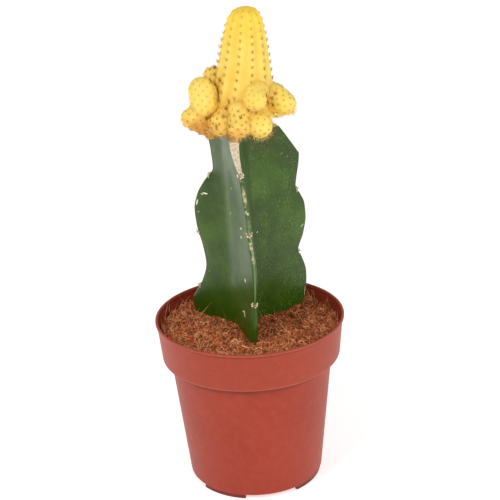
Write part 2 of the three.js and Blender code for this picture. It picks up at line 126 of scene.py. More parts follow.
def linear(red: int, green: int, blue: int) -> Colour:
    """Turns a colour as seen on a screen into scene light.

    Args:
        red: 0 to 255.
        green: 0 to 255.
        blue: 0 to 255.

    Returns:
        Three numbers from 0 to 1.
    """

    def one(part: int) -> float:
        """Turns one part."""
        share = part / 255
        return share / 12.92 if share <= 0.04045 else ((share + 0.055) / 1.055) ** 2.4

    return one(red), one(green), one(blue)


def polar(reach: float, bearing: float) -> tuple[float, float]:
    """Gives the x and y of a place from its reach and its bearing in radians."""
    return reach * math.cos(bearing), reach * math.sin(bearing)


def heading(bearing: float) -> Vector:
    """Gives the level direction of a bearing in radians."""
    return Vector((math.cos(bearing), math.sin(bearing), 0))


def uphill(outward: Vector) -> Vector:
    """Gives the steepest way up along a surface that faces outward."""
    return (UP - outward * UP.dot(outward)).normalized()


def drawn(span: Span, draw: random.Random, power: float = 1.0) -> float:
    """Draws the span's first number plus up to its second; a power over 1 favours small ones."""
    return span[0] + span[1] * draw.random() ** power


def ripple(point: Vector, size: float, seed: float = 0.0) -> float:
    """Gives smooth noise, about -1 to 1, with bumps of that size in millimetres at a place."""
    return noise.noise(point / size + Vector((seed, 2 * seed, 3 * seed)))


# -------------------- shader bench


class Wire:
    """One value in a node tree, with Python's own arithmetic."""

    def __init__(self, bench: ShaderBench, socket: bpy.types.NodeSocket) -> None:
        """Wraps an output socket of a bench's tree."""
        self.bench = bench
        self.socket = socket

    def _math(self, operation: str, first: Feed, second: Feed) -> Wire:
        """Adds a Math node."""
        return self.bench.node("ShaderNodeMath", {"operation": operation}, {0: first, 1: second})

    def __add__(self, other: Feed) -> Wire:
        """Adds."""
        return self._math("ADD", self, other)

    def __radd__(self, other: Feed) -> Wire:
        """Adds, from the right."""
        return self._math("ADD", other, self)

    def __rsub__(self, other: Feed) -> Wire:
        """Subtracts this from another."""
        return self._math("SUBTRACT", other, self)

    def __mul__(self, other: Feed) -> Wire:
        """Multiplies."""
        return self._math("MULTIPLY", self, other)

    def __rmul__(self, other: Feed) -> Wire:
        """Multiplies, from the right."""
        return self._math("MULTIPLY", other, self)

    def eased(self, low: float, high: float) -> Wire:
        """Eases from 0 where this is low to 1 where it is high."""
        settings = {"interpolation_type": "SMOOTHSTEP"}
        return self.bench.node("ShaderNodeMapRange", settings, {0: self, 1: low, 2: high})


Feed = Union[Wire, float, int, Sequence[float]]


class ShaderBench:
    """Builds the node tree of one material or of the sky."""

    def __init__(
        self, owner: bpy.types.Material | bpy.types.World, coordinates: str = "Object"
    ) -> None:
        """Starts the owner's tree afresh, with patterns on those coordinates.

        Args:
            owner: The material or the sky.
            coordinates: What its patterns are laid out on.
        """
        owner.use_nodes = True
        self.owner = owner
        self.tree = owner.node_tree
        self.tree.nodes.clear()
        self.place = self.node("ShaderNodeTexCoord", output=coordinates)

    @classmethod
    def for_finish(cls, name: str) -> ShaderBench:
        """Starts a material of that name."""
        return cls(bpy.data.materials.new(name))

    def node(
        self,
        kind: str,
        settings: Mapping[str, object] | None = None,
        feeds: Mapping[int | str, Feed] | None = None,
        output: int | str = 0,
    ) -> Wire:
        """Adds one node.

        Args:
            kind: The node's type.
            settings: Its own settings; "stops" is a list of (position, colour) for a ramp.
            feeds: A value or a wire for each input socket that isn't left as it is.
            output: The output socket to give back.

        Returns:
            That output as a wire.
        """
        made = self.tree.nodes.new(kind)
        for name, value in (settings or {}).items():
            if name == "stops":
                self._set_stops(made.color_ramp, value)
            else:
                setattr(made, name, value)
        for key, value in (feeds or {}).items():
            if isinstance(value, Wire):
                self.tree.links.new(value.socket, made.inputs[key])
            else:
                made.inputs[key].default_value = value
        return Wire(self, made.outputs[output])

    @staticmethod
    def _set_stops(ramp: bpy.types.ColorRamp, stops: Sequence[tuple[float, Colour]]) -> None:
        """Gives a ramp its colours.

        Args:
            ramp: The ramp.
            stops: The position and colour of each stop.
        """
        while len(ramp.elements) < len(stops):
            ramp.elements.new(1.0)
        for element, (position, colour) in zip(ramp.elements, stops):
            element.position = position
            element.color = (*colour, 1.0)

    def grain(self, size: float, detail: float = 2.0, roughness: float = 0.5) -> Wire:
        """Adds noise about 0.5 whose blotches are size millimetres wide."""
        feeds = {"Vector": self.place, "Scale": 1 / (size * MM), "Detail": detail}
        return self.node("ShaderNodeTexNoise", None, {**feeds, "Roughness": roughness})

    def cells(self, size: float, output: str = "Distance") -> Wire:
        """Adds cells of size millimetres: their distance field or their random colours."""
        feeds = {"Vector": self.place, "Scale": 1 / (size * MM)}
        return self.node("ShaderNodeTexVoronoi", None, feeds, output)

    def mark(self, name: str) -> Wire:
        """Reads a number that the mesh carries at each of its points."""
        return self.node("ShaderNodeAttribute", {"attribute_name": name}, output="Fac")

    def blend(self, factor: Feed, first: Feed | Colour, second: Feed | Colour) -> Wire:
        """Mixes two colours: a factor of 0 gives the first one and 1 the second."""
        feeds = {0: factor, 6: self._rgba(first), 7: self._rgba(second)}
        return self.node("ShaderNodeMix", {"data_type": "RGBA"}, feeds, 2)

    @staticmethod
    def _rgba(colour: Feed | Colour) -> Feed:
        """Gives a plain colour its alpha."""
        return colour if isinstance(colour, Wire) else (*colour, 1.0)

    def axis(self, letter: str) -> Wire:
        """Reads one of the coordinates X, Y and Z."""
        return self.node("ShaderNodeSeparateXYZ", None, {0: self.place}, letter)

    def bump(self, height: Wire, depth: float) -> Wire:
        """Turns a height from 0 to 1 into a normal, with that depth in millimetres."""
        return self.node("ShaderNodeBump", None, {"Height": height, "Distance": depth * MM})

    def surface(self, **feeds: Feed) -> bpy.types.Material:
        """Closes the tree with one shader.

        Args:
            **feeds: Socket names with _ for a space, and their values or wires.

        Returns:
            The finished material.
        """
        named = {name.replace("_", " "): value for name, value in feeds.items()}
        named["Base Color"] = self._rgba(named["Base Color"])
        shader = self.node("ShaderNodeBsdfPrincipled", None, named)
        self.close("ShaderNodeOutputMaterial", shader)
        return self.owner

    def close(self, kind: str, shader: Wire) -> None:
        """Joins a shader to the tree's output, a node of that kind."""
        end = self.tree.nodes.new(kind)
        self.tree.links.new(shader.socket, end.inputs["Surface"])


# -------------------- finishes


@dataclass(frozen=True)
class PotPlastic:
    """Thin satin plastic, moulded in terracotta red.

    The widths of its blotches, scuffs, streaks and flecks and the heights on the pot are in
    millimetres.
    """

    body: Colour = linear(167, 59, 35)
    # The colour of real scuffs and streaks, and of painted highlights on the rim and collar.
    worn_and_highlight: Colour = linear(190, 96, 72)
    # A random tone in the blotches, and the colour of the painted shade towards the foot.
    deep: Colour = linear(153, 48, 28)
    # The colour of painted shade and shadow.
    painted_shade: Colour = linear(96, 34, 24)
    fleck: Colour = linear(214, 150, 128)
    blotch_width: float = 26
    scuff_width: float = 0.9
    scuffed_patch: float = 14
    streak_width: float = 3.5
    fleck_spacing: float = 2.6
    painted_shade_below: Span = (-10, 35)
    collar: float = 59.5
    lip: float = 76.8

    def material(self) -> bpy.types.Material:
        """Builds the finish.

        Returns:
            The material.
        """
        bench = ShaderBench.for_finish("pot_plastic")
        blotch = bench.grain(self.blotch_width, 3, 0.55).eased(0.3, 0.7)
        colour = bench.blend(0.3 + 0.4 * blotch, self.deep, self.body)
        scuffs = bench.grain(self.scuff_width, 4, 0.7).eased(0.62, 0.78)
        scuffs = scuffs * bench.grain(self.scuffed_patch).eased(0.45, 0.7)
        colour = bench.blend(scuffs * 0.5, colour, self.worn_and_highlight)
        streaks = bench.grain(self.streak_width, 4, 0.6).eased(0.4, 0.75)
        colour = bench.blend(streaks * 0.14, colour, self.worn_and_highlight)
        flecks = 1 - bench.cells(self.fleck_spacing).eased(0.03, 0.08)
        chosen = bench.cells(self.fleck_spacing, "Color").eased(0.6, 0.66)
        colour = bench.blend(flecks * chosen * 0.7, colour, self.fleck)
        height = bench.axis("Z")
        # Painted shade: the pot darkens towards its foot.
        low, high = self.painted_shade_below
        colour = bench.blend((1 - height.eased(low * MM, high * MM)) * 0.4, colour, self.deep)
        # Painted highlights on the rim bead, the whole collar and the collar's lower edge.
        colour = bench.blend(self.painted_highlight_bands(height), colour, self.worn_and_highlight)
        # Painted shade under the collar and the rim bead, and a painted contact shadow on the
        # feet.
        colour = bench.blend(self.painted_shade_bands(height), colour, self.painted_shade)
        rough = 0.42 + 0.12 * bench.grain(5, 3) + 0.15 * scuffs
        normal = bench.bump(bench.grain(0.8, 3, 0.6) + 0.6 * bench.grain(9), 0.02)
        return bench.surface(
            Base_Color=colour, Roughness=rough, Normal=normal, Specular_IOR_Level=0.27
        )

    def painted_highlight_bands(self, height: Wire) -> Wire:
        """Picks out painted highlights on the rim bead, faintly on the whole collar, and on the
        collar's lower edge.

        Args:
            height: The height on the pot.

        Returns:
            How strongly the painted highlight shows.
        """
        bright = self.band(height, self.lip, self.lip + 2) * 0.4
        bright = bright + self.band(height, self.collar, self.lip) * 0.13
        return bright + self.band(height, self.collar, self.collar + 0.9) * 0.3

    def painted_shade_bands(self, height: Wire) -> Wire:
        """Picks out painted shade under the collar and the rim bead, and a painted shadow on the
        feet.

        Args:
            height: The height on the pot.

        Returns:
            How strongly the painted shade shows.
        """
        dull = self.band(height, self.collar - 2.0, self.collar) * 0.4
        dull = dull + self.band(height, self.collar - 3.2, self.collar) * 0.35
        dull = dull + self.band(height, self.lip - 0.6, self.lip) * 0.6
        return dull + self.band(height, -1, 1.7) * 0.75

    @staticmethod
    def band(height: Wire, low: float, high: float, soft: float = 0.15) -> Wire:
        """Picks out the heights from low to high, in millimetres, with soft edges."""
        below = height.eased((low - soft) * MM, (low + soft) * MM)
        return below * (1 - height.eased((high - soft) * MM, (high + soft) * MM))


@dataclass(frozen=True)
class CoirGround:
    """Damp coir dust or the crumbs on it, in specks and clods a few tenths wide."""

    name: str = "coir_ground"
    dark: Colour = linear(58, 22, 9)
    mid: Colour = linear(172, 80, 36)
    light: Colour = linear(230, 134, 70)
    speck_width: float = 0.55
    clod_width: float = 1.1
    relief: float = 0.4

    def material(self) -> bpy.types.Material:
        """Builds the finish.

        Returns:
            The material.
        """
        bench = ShaderBench.for_finish(self.name)
        speck = bench.cells(self.speck_width, "Color")
        tone = 0.5 * speck + 0.5 * bench.grain(self.clod_width, 5, 0.75)
        stops = [(0.26, self.dark), (0.48, self.mid), (0.76, self.light)]
        colour = bench.node("ShaderNodeValToRGB", {"stops": stops}, {0: tone})
        normal = bench.bump(bench.grain(0.4, 4, 0.75), self.relief)
        return bench.surface(Base_Color=colour, Roughness=0.95, Normal=normal)


@dataclass(frozen=True)
class CoirFibre:
    """A stray coir fibre, from straw to rust."""

    name: str
    dark: Colour
    light: Colour

    def material(self) -> bpy.types.Material:
        """Builds the finish.

        Returns:
            The material.
        """
        bench = ShaderBench.for_finish(self.name)
        colour = bench.blend(bench.grain(3).eased(0.35, 0.65), self.dark, self.light)
        return bench.surface(Base_Color=colour, Roughness=0.8)


@dataclass(frozen=True)
class GreenSkin:
    """Waxy green skin with pale specks, and cork along a worn margin.

    It reads the marks foot, painted_scion_shadow, speckle, margin and crust from the stem's mesh;
    the second is a painted shadow of the scion. The widths of its clouds, mottling, patches of
    specks and specks are in millimetres.
    """

    dark: Colour = linear(34, 64, 5)
    mid: Colour = linear(60, 94, 16)
    pale: Colour = linear(112, 144, 62)
    speck: Colour = linear(144, 172, 98)
    line: Colour = linear(124, 162, 116)
    foot: Colour = linear(48, 84, 4)
    cork: Colour = linear(222, 206, 164)
    # The colour of the scion's painted shadow.
    painted_scion_shadow: Colour = linear(58, 48, 28)
    cloud_width: float = 16
    mottle_width: float = 0.8
    patch_width: float = 9
    speck_spacing: float = 0.66

    def material(self) -> bpy.types.Material:
        """Builds the finish.

        Returns:
            The material.
        """
        bench = ShaderBench.for_finish("green_skin")
        cloud = bench.grain(self.cloud_width, 4, 0.6)
        colour = bench.blend(cloud.eased(0.3, 0.7), self.dark, self.mid)
        colour = bench.blend(bench.mark("foot") * 0.65, colour, self.foot)
        # Painted shadow of the scion over the top of the speckled wing, in blotches.
        painted_scion_shadow = bench.mark("painted_scion_shadow") * (0.3 + 0.5 * bench.grain(5, 3).eased(0.35, 0.6))
        colour = bench.blend(painted_scion_shadow, colour, self.painted_scion_shadow)
        mottle = bench.grain(self.mottle_width, 4, 0.75).eased(0.52, 0.68)
        colour = bench.blend(mottle * (0.12 + 0.24 * bench.mark("speckle")), colour, self.pale)
        colour = bench.blend(self.specks(bench), colour, self.speck)
        colour = bench.blend(bench.mark("margin") * 0.8, colour, self.line)
        crust = bench.mark("crust") * bench.grain(1.8, 4, 0.7).eased(0.44, 0.54)
        colour = bench.blend(crust, colour, self.cork)
        rough = 0.27 + 0.1 * bench.grain(7, 3) + 0.4 * crust
        relief = bench.grain(6, 3) + 0.3 * bench.grain(0.7, 3) + 0.8 * crust
        return bench.surface(
            Base_Color=colour,
            Roughness=rough,
            Normal=bench.bump(relief, 0.1),
            Specular_IOR_Level=0.36,
            Specular_Tint=(1.0, 1.0, 0.74, 1.0),
        )

    def specks(self, bench: ShaderBench) -> Wire:
        """Scatters the pale specks, thickest at the foot of the speckled wing.

        Args:
            bench: The skin's bench.

        Returns:
            How strongly the specks show.
        """
        speckle = bench.mark("speckle")
        patch = bench.grain(self.patch_width).eased(0.38, 0.6) * (0.35 + 0.65 * speckle)
        patch = patch + 0.6 * bench.mark("foot") * speckle
        dots = 1 - bench.cells(self.speck_spacing).eased(0.16, 0.38)
        chosen = bench.cells(self.speck_spacing, "Color").eased(0.4, 0.6)
        return dots * chosen * patch * 0.62


@dataclass(frozen=True)
class Cork:
    """Dry corky tissue where the plant was cut or scarred, with upright streaks."""

    name: str = "cork"
    dark: Colour = linear(176, 152, 122)
    light: Colour = linear(222, 208, 182)
    streak_width: float = 0.45
    squash: tuple[float, float, float] = (1.0, 1.0, 0.05)

    def material(self) -> bpy.types.Material:
        """Builds the finish.

        Returns:
            The material.
        """
        bench = ShaderBench.for_finish(self.name)
        feeds = {"Vector": bench.place, "Scale": self.squash}
        stretch = bench.node("ShaderNodeMapping", None, feeds)
        feeds = {"Vector": stretch, "Scale": 1 / (self.streak_width * MM), "Detail": 1.0}
        streaks = bench.node("ShaderNodeTexNoise", None, feeds)
        colour = bench.blend(streaks.eased(0.2, 0.6), self.dark, self.light)
        normal = bench.bump(streaks, 0.12)
        return bench.surface(Base_Color=colour, Roughness=0.85, Normal=normal)


@dataclass(frozen=True)
class YellowFlesh:
    """Soft flesh without green: yellow, blushed at its foot, with painted shade in its valleys,
    golden painted shade in its folds and painted shade in the blush on its lower left.

    It reads the marks valley, foot, crease and areole from the scion's meshes. The heights
    between which the crown's colour sets in are in millimetres, as is its softness to light.
    """

    light: Colour = linear(253, 223, 109)
    # The flesh's own deeper tone in its clouds, and the colour of the painted shade in its
    # valleys.
    deep: Colour = linear(253, 205, 74)
    # The golden painted shade of the folds, and the areoles' own halo.
    fold_shade_and_halo: Colour = linear(222, 158, 46)
    # Partly the flesh's own blush, partly painted shade on its lower left.
    blush_and_shade: Colour = linear(222, 160, 66)
    crown: Colour = linear(255, 214, 50)
    crown_heights: Span = (196, 216)
    softness: float = 2.2

    def material(self) -> bpy.types.Material:
        """Builds the finish.

        Returns:
            The material.
        """
        bench = ShaderBench.for_finish("yellow_flesh")
        cloud = bench.grain(7, 3, 0.55).eased(0.35, 0.7)
        # Painted shade: the rib valleys turn deeper yellow.
        colour = bench.blend(cloud * 0.4 + 0.45 * bench.mark("valley"), self.light, self.deep)
        low, high = self.crown_heights
        crown = bench.axis("Z").eased(low * MM, high * MM)
        colour = bench.blend(crown * 0.7, colour, self.crown)
        # The blush at the foot: partly the flesh's own tint, partly painted shade on the lower
        # left.
        tint = 0.3 + 0.5 * bench.grain(3.2).eased(0.35, 0.62)
        colour = bench.blend(tint * bench.mark("foot"), colour, self.blush_and_shade)
        # Painted shade, golden, in the folds between the column and the offsets and at the graft.
        fold_shade_and_halo = bench.mark("crease") * (0.3 + 0.4 * bench.mark("foot"))
        colour = bench.blend(fold_shade_and_halo, colour, self.fold_shade_and_halo)
        # The areoles' own darker halo.
        colour = bench.blend(bench.mark("areole") * 0.3, colour, self.fold_shade_and_halo)
        rough = 0.45 + 0.15 * bench.grain(2, 3)
        normal = bench.bump(bench.cells(0.55) + 0.8 * bench.grain(2.5, 3), 0.04)
        return bench.surface(
            Base_Color=colour,
            Roughness=rough,
            Normal=normal,
            Subsurface_Weight=0.45,
            Subsurface_Radius=(1.0, 0.75, 0.3),
            Subsurface_Scale=self.softness * MM,
        )


@dataclass(frozen=True)
class Horn:
    """Spines and the felt they grow from."""

    name: str
    dark: Colour
    light: Colour
    roughness: float = 0.5

    def material(self) -> bpy.types.Material:
        """Builds the finish.

        Returns:
            The material.
        """
        bench = ShaderBench.for_finish(self.name)
        colour = bench.blend(bench.grain(0.9).eased(0.35, 0.65), self.dark, self.light)
        return bench.surface(Base_Color=colour, Roughness=self.roughness)


@dataclass(frozen=True)
class FloorPaper:
    """The plain pale floor, lit like a light table.

    Its glow is weaker towards the front and stronger far behind and at the back's far left.
    Each change runs between two places in metres, left_change on X and the others on Y.
    """

    white: Colour = (0.85, 0.85, 0.85)
    glow: Colour = (0.57, 0.57, 0.57)
    front: Colour = (0.34, 0.34, 0.34)
    left: Colour = (1.3, 1.3, 1.3)
    back: Colour = (0.66, 0.66, 0.66)
    front_change: Span = (-0.3, -0.03)
    back_change: Span = (0.2, 0.8)
    left_change: Span = (-0.32, -0.13)
    left_starts: Span = (-0.04, 0.12)

    def material(self) -> bpy.types.Material:
        """Builds the finish.

        Returns:
            The material.
        """
        bench = ShaderBench.for_finish("floor_paper")
        depth = bench.axis("Y")
        glow = bench.blend(depth.eased(*self.front_change), self.front, self.glow)
        glow = bench.blend(depth.eased(*self.back_change), glow, self.back)
        corner = (1 - bench.axis("X").eased(*self.left_change)) * depth.eased(*self.left_starts)
        glow = bench.blend(corner, glow, self.left)
        return bench.surface(
            Base_Color=self.white, Roughness=0.9, Emission_Color=glow, Emission_Strength=1.0
        )


class Slot(Enum):
    """The record's material slots."""

    POT = "pot"
    MIX = "potting_mix"
    ROOTSTOCK = "rootstock"
    SCION = "scion"


# -------------------- mesh bench


@dataclass
class Spot:
    """Where a sheet's point goes, and the numbers that it carries."""

    point: Vector
    marks: Mapping[str, float] = field(default_factory=dict)


def wrapped_sheet(
    around: int, along: int, place: Callable[[float, float], Spot], marks: Sequence[str] = ()
) -> bmesh.types.BMesh:
    """Wraps a grid into a closed skin: its two sides and its poles are merged.

    Args:
        around: Faces round the skin.
        along: Faces from its first pole to its last.
        place: Gives the spot for shares 0 to 1 around and along.
        marks: The names of the numbers that each point carries.

    Returns:
        The skin, facing out.
    """
    bm = bmesh.new()
    layers = {name: bm.verts.layers.float.new(name) for name in marks}
    bmesh.ops.create_grid(bm, x_segments=around, y_segments=along, size=0.5)
    for vert in bm.verts:
        spot = place(vert.co.x + 0.5, vert.co.y + 0.5)
        vert.co = spot.point
        for name, layer in layers.items():
            vert[layer] = spot.marks.get(name, 0.0)
    bmesh.ops.remove_doubles(bm, verts=bm.verts, dist=1e-3)
    bmesh.ops.recalc_face_normals(bm, faces=bm.faces)
    return bm


def mesh_from(bm: bmesh.types.BMesh, name: str) -> bpy.types.Mesh:
    """Turns a bmesh into a mesh of that name and frees it.

    Args:
        bm: The bmesh.
        name: The mesh's name.

    Returns:
        The mesh.
    """
    mesh = bpy.data.meshes.new(name)
    bm.to_mesh(mesh)
    bm.free()
    return mesh


def placed(name: str, data: bpy.types.ID) -> bpy.types.Object:
    """Puts an object with that mesh, curve, lamp or camera into the scene.

    Args:
        name: The object's name.
        data: What it shows.

    Returns:
        The object.
    """
    item = bpy.data.objects.new(name, data)
    bpy.context.scene.collection.objects.link(item)
    return item


def finish_piece(
    name: str,
    bm: bmesh.types.BMesh,
    materials: Sequence[bpy.types.Material],
    stands_for: Iterable[str] = (),
    sharp_angle: float = 40.0,
) -> None:
    """Turns a bmesh in millimetres into a piece that rides on the frame.

    Args:
        name: The piece's name.
        bm: Its shape; it is freed.
        materials: Its materials, in the order of its faces' indices.
        stands_for: The CAD nodes that it replaces.
        sharp_angle: Edges sharper than this stay sharp, in degrees.
    """
    bmesh.ops.scale(bm, vec=(MM, MM, MM), verts=bm.verts)
    for face in bm.faces:
        face.smooth = True
    mesh = mesh_from(bm, name)
    mesh.set_sharp_from_angle(angle=math.radians(sharp_angle))
    for material in materials:
        mesh.materials.append(material)
    piece = placed(name, mesh)
    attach(piece, "root")
    nodes = list(stands_for)
    if nodes:
        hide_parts(*nodes)
    log.info("%s: %d faces", name, len(mesh.polygons))


@dataclass
class Strand:
    """A thin round thing, such as a spine or a fibre, given by its line and radii."""

    points: Sequence[Vector]
    radii: Sequence[float]


def strands_mesh(strands: Sequence[Strand], rounding: int = 0) -> bmesh.types.BMesh:
    """Makes closed tubes round a bundle of lines.

    Args:
        strands: The lines.
        rounding: 0 for four-sided tubes, more for rounder ones.

    Returns:
        All the tubes in one bmesh.
    """
    curve = bpy.data.curves.new("strands", "CURVE")
    curve.dimensions = "3D"
    curve.bevel_depth = 1.0
    curve.bevel_resolution = rounding
    curve.use_fill_caps = True
    for strand in strands:
        spline = curve.splines.new("POLY")
        spline.points.add(len(strand.points) - 1)
        for spot, point, radius in zip(spline.points, strand.points, strand.radii):
            spot.co = (*point, 1.0)
            spot.radius = radius
    holder = placed("strands", curve)
    shaped = holder.evaluated_get(bpy.context.evaluated_depsgraph_get())
    mesh = bpy.data.meshes.new_from_object(shaped)
    bm = bmesh.new()
    bm.from_mesh(mesh)
    bpy.data.objects.remove(holder)
    bpy.data.curves.remove(curve)
    bpy.data.meshes.remove(mesh)
    bmesh.ops.recalc_face_normals(bm, faces=bm.faces)
    return bm


def strands_piece(
    name: str,
    strands: Sequence[Strand],
    finish: Horn | CoirFibre,
    rounding: int = 0,
) -> None:
    """Makes a piece of a bundle of lines: four-sided tubes, or rounder ones with rounding."""
    finish_piece(name, strands_mesh(strands, rounding), [finish.material()])


def pebble_meshes(count: int, wobble: float, draw: random.Random) -> list[bpy.types.Mesh]:
    """Makes lumpy little templates, about 1 across.

    Args:
        count: How many.
        wobble: How far their points are moved, as a share of the radius.
        draw: The random draws.

    Returns:
        The template meshes.
    """
    templates = []
    for _ in range(count):
        bm = bmesh.new()
        bmesh.ops.create_icosphere(bm, subdivisions=1, radius=0.5)
        for vert in bm.verts:
            vert.co *= 1 + wobble * (draw.random() - 0.5) * 2
        templates.append(mesh_from(bm, "pebble"))
    return templates


def stamped(places: Iterable[tuple[bpy.types.Mesh, Matrix]]) -> bmesh.types.BMesh:
    """Joins copies of small templates into one bmesh.

    Args:
        places: A template and its placing for each copy.

    Returns:
        All the copies.
    """
    bm = bmesh.new()
    for template, matrix in places:
        copy = template.copy()
        copy.transform(matrix)
        bm.from_mesh(copy)
        bpy.data.meshes.remove(copy)
    return bm


def frame_on(point: Vector, outward: Vector, turn: float, size: Vector) -> Matrix:
    """Places a template on a surface.

    Args:
        point: Where.
        outward: The surface's normal, along which the template's Z lies.
        turn: How far it is turned about that normal, in radians.
        size: Its size along its own X, Y and Z.

    Returns:
        The placing matrix.
    """
    tilt = outward.to_track_quat("Z", "Y").to_matrix().to_4x4()
    spin = Matrix.Rotation(turn, 4, "Z")
    return Matrix.Translation(point) @ tilt @ spin @ Matrix.Diagonal((*size, 1.0))


def filleted(corners: Sequence[tuple[float, float, float]], steps: int = 5) -> list[Vector]:
    """Rounds the corners of a closed outline.

    Args:
        corners: (reach, height, fillet radius) of each corner.
        steps: Steps along each rounded corner.

    Returns:
        The outline's points as (reach, 0, height).
    """
    outline = []
    for i, (reach, height, radius) in enumerate(corners):
        corner = Vector((reach, 0, height))
        before = Vector((corners[i - 1][0], 0, corners[i - 1][1])) - corner
        following = corners[(i + 1) % len(corners)]
        after = Vector((following[0], 0, following[1])) - corner
        if radius == 0:
            outline.append(corner)
            continue
        half = before.angle(after) / 2
        cut = min(radius / math.tan(half), 0.45 * min(before.length, after.length))
        start, end = corner + before.normalized() * cut, corner + after.normalized() * cut
        for step in range(steps + 1):
            t = step / steps
            outline.append(start * (1 - t) ** 2 + corner * 2 * t * (1 - t) + end * t * t)
    return outline


# -------------------- the pot


@dataclass
class NurseryPot:
    """The pot: a thin wall with a rim bead, a deep collar and four curved feet.

    foot_arch is how much of the turn each arch between two feet takes up and arch_middle the
    bearing of the middle of one, both in degrees. lip_slope is how much higher the underside
    of the rim bead is at its outer edge, and rim_chamfer how far the rim is cut back inside.
    """

    height: float = 78.0
    rim_radius: float = 42.5
    wall: float = 0.9
    lip_height: float = 1.2
    lip_overhang: float = 0.5
    lip_slope: float = 0.1
    rim_chamfer: float = 0.2
    band_height: float = 18.5
    band_bottom_radius: float = 40.2
    body_top_radius: float = 36.6
    body_bottom_radius: float = 30.5
    foot_height: float = 2.0
    foot_radius: float = 29.9
    foot_width: float = 1.6
    foot_fillet: float = 0.25
    foot_steps: int = 24
    foot_count: int = 4
    foot_arch: float = 48.0
    arch_middle: float = -77.0
    floor: float = 1.2
    drain_radius: float = 3.2
    drain_circle: float = 21.0
    centre_drain_radius: float = 4.0
    drain_steps: int = 32
    steps: int = 192
    sharp_angle: float = 35.0

    @property
    def band_bottom(self) -> float:
        """The height of the collar's lower edge."""
        return self.height - self.band_height

    def band_radius(self, height: float) -> float:
        """Gives the collar's outside radius at a height.

        Args:
            height: The height.

        Returns:
            The radius, the lip left out.
        """
        share = (height - self.band_bottom) / self.band_height
        top = self.rim_radius - self.lip_overhang
        return self.band_bottom_radius + share * (top - self.band_bottom_radius)

    def body_radius(self, height: float) -> float:
        """Gives the tapered body's outside radius at a height."""
        share = (height - self.foot_height) / (self.band_bottom - self.foot_height)
        return self.body_bottom_radius + share * (self.body_top_radius - self.body_bottom_radius)

    def outline(self) -> list[Vector]:
        """Draws the wall's closed outline, from the middle drain hole out, up and back in.

        Returns:
            Its points as (reach, 0, height).
        """
        foot, bottom, wall = self.foot_height, self.band_bottom, self.wall
        lip, ledge, floor_top = self.height - self.lip_height, bottom + wall, foot + self.floor
        corners = [
            (self.centre_drain_radius, foot, 0.0),
            (self.body_bottom_radius, foot, 0.7),
            (self.body_top_radius, bottom, 0.4),
            (self.band_bottom_radius, bottom, 0.9),
            (self.band_radius(lip), lip, 0.05),
            (self.rim_radius, lip + self.lip_slope, 0.25),
            (self.rim_radius, self.height, 0.4),
            (self.rim_radius - wall - self.rim_chamfer, self.height, 0.35),
            (self.band_radius(ledge) - wall, ledge, 0.6),
            (self.body_radius(ledge) - wall, ledge, 0.5),
            (self.body_radius(floor_top) - wall, floor_top, 0.5),
            (self.centre_drain_radius, floor_top, 0.0),
        ]
        return filleted(corners)

    def wall_mesh(self) -> bmesh.types.BMesh:
        """Spins the outline into the pot's wall and floor.

        Returns:
            The pot without its feet and outer drain holes.
        """
        bm = bmesh.new()
        verts = [bm.verts.new(point) for point in self.outline()]
        edges = [bm.edges.new((verts[i - 1], verts[i])) for i in range(len(verts))]
        bmesh.ops.spin(
            bm,
            geom=verts + edges,
            cent=(0, 0, 0),
            axis=(0, 0, 1),
            angle=TAU,
            steps=self.steps,
            use_merge=True,
        )
        bmesh.ops.remove_doubles(bm, verts=bm.verts, dist=1e-3)
        bmesh.ops.recalc_face_normals(bm, faces=bm.faces)
        return bm

    def add_foot(self, bm: bmesh.types.BMesh, middle: float) -> None:
        """Adds one curved foot, sunk a little into the floor.

        Args:
            bm: The pot's bmesh.
            middle: The bearing of the foot's middle, in degrees.
        """
        inner, top = self.foot_radius - self.foot_width, self.foot_height + self.floor / 3
        corners = [
            (inner, 0.0, self.foot_fillet),
            (self.foot_radius, 0.0, self.foot_fillet),
            (self.foot_radius, top, 0.0),
            (inner, top, 0.0),
        ]
        sweep = math.radians(360 / self.foot_count - self.foot_arch)
        turn = Matrix.Rotation(math.radians(middle) - sweep / 2, 4, "Z")
        verts = [bm.verts.new(turn @ point) for point in filleted(corners, 3)]
        start = bm.faces.new(verts)
        bmesh.ops.spin(
            bm,
            geom=[start, *start.verts, *start.edges],
            cent=(0, 0, 0),
            axis=(0, 0, 1),
            angle=sweep,
            steps=self.foot_steps,
        )

    def drill_mesh(self) -> bpy.types.Mesh:
        """Makes the plugs that stand in the drain holes beside the arches.

        Returns:
            The plugs in one mesh.
        """
        bm = bmesh.new()
        for i in range(self.foot_count):
            bearing = math.radians(self.arch_middle + i * 360 / self.foot_count)
            spot = heading(bearing) * self.drain_circle
            bmesh.ops.create_cone(
                bm,
                cap_ends=True,
                segments=self.drain_steps,
                radius1=self.drain_radius,
                radius2=self.drain_radius,
                depth=4 * self.floor,
                matrix=Matrix.Translation(spot + UP * self.foot_height),
            )
        return mesh_from(bm, "drills")

    def drilled(self, wall: bmesh.types.BMesh) -> bmesh.types.BMesh:
        """Cuts the drain holes out of the pot's wall.

        Args:
            wall: The pot without its holes; it is freed.

        Returns:
            The pot with its holes.
        """
        blank = placed("blank", mesh_from(wall, "wall"))
        drills = placed("drills", self.drill_mesh())
        cut = blank.modifiers.new("drain", "BOOLEAN")
        cut.object = drills
        cut.operation = "DIFFERENCE"
        cut.solver = "EXACT"
        shaped = blank.evaluated_get(bpy.context.evaluated_depsgraph_get())
        bm = bmesh.new()
        bm.from_mesh(shaped.to_mesh())
        for item in (blank, drills):
            bpy.data.objects.remove(item)
        return bm

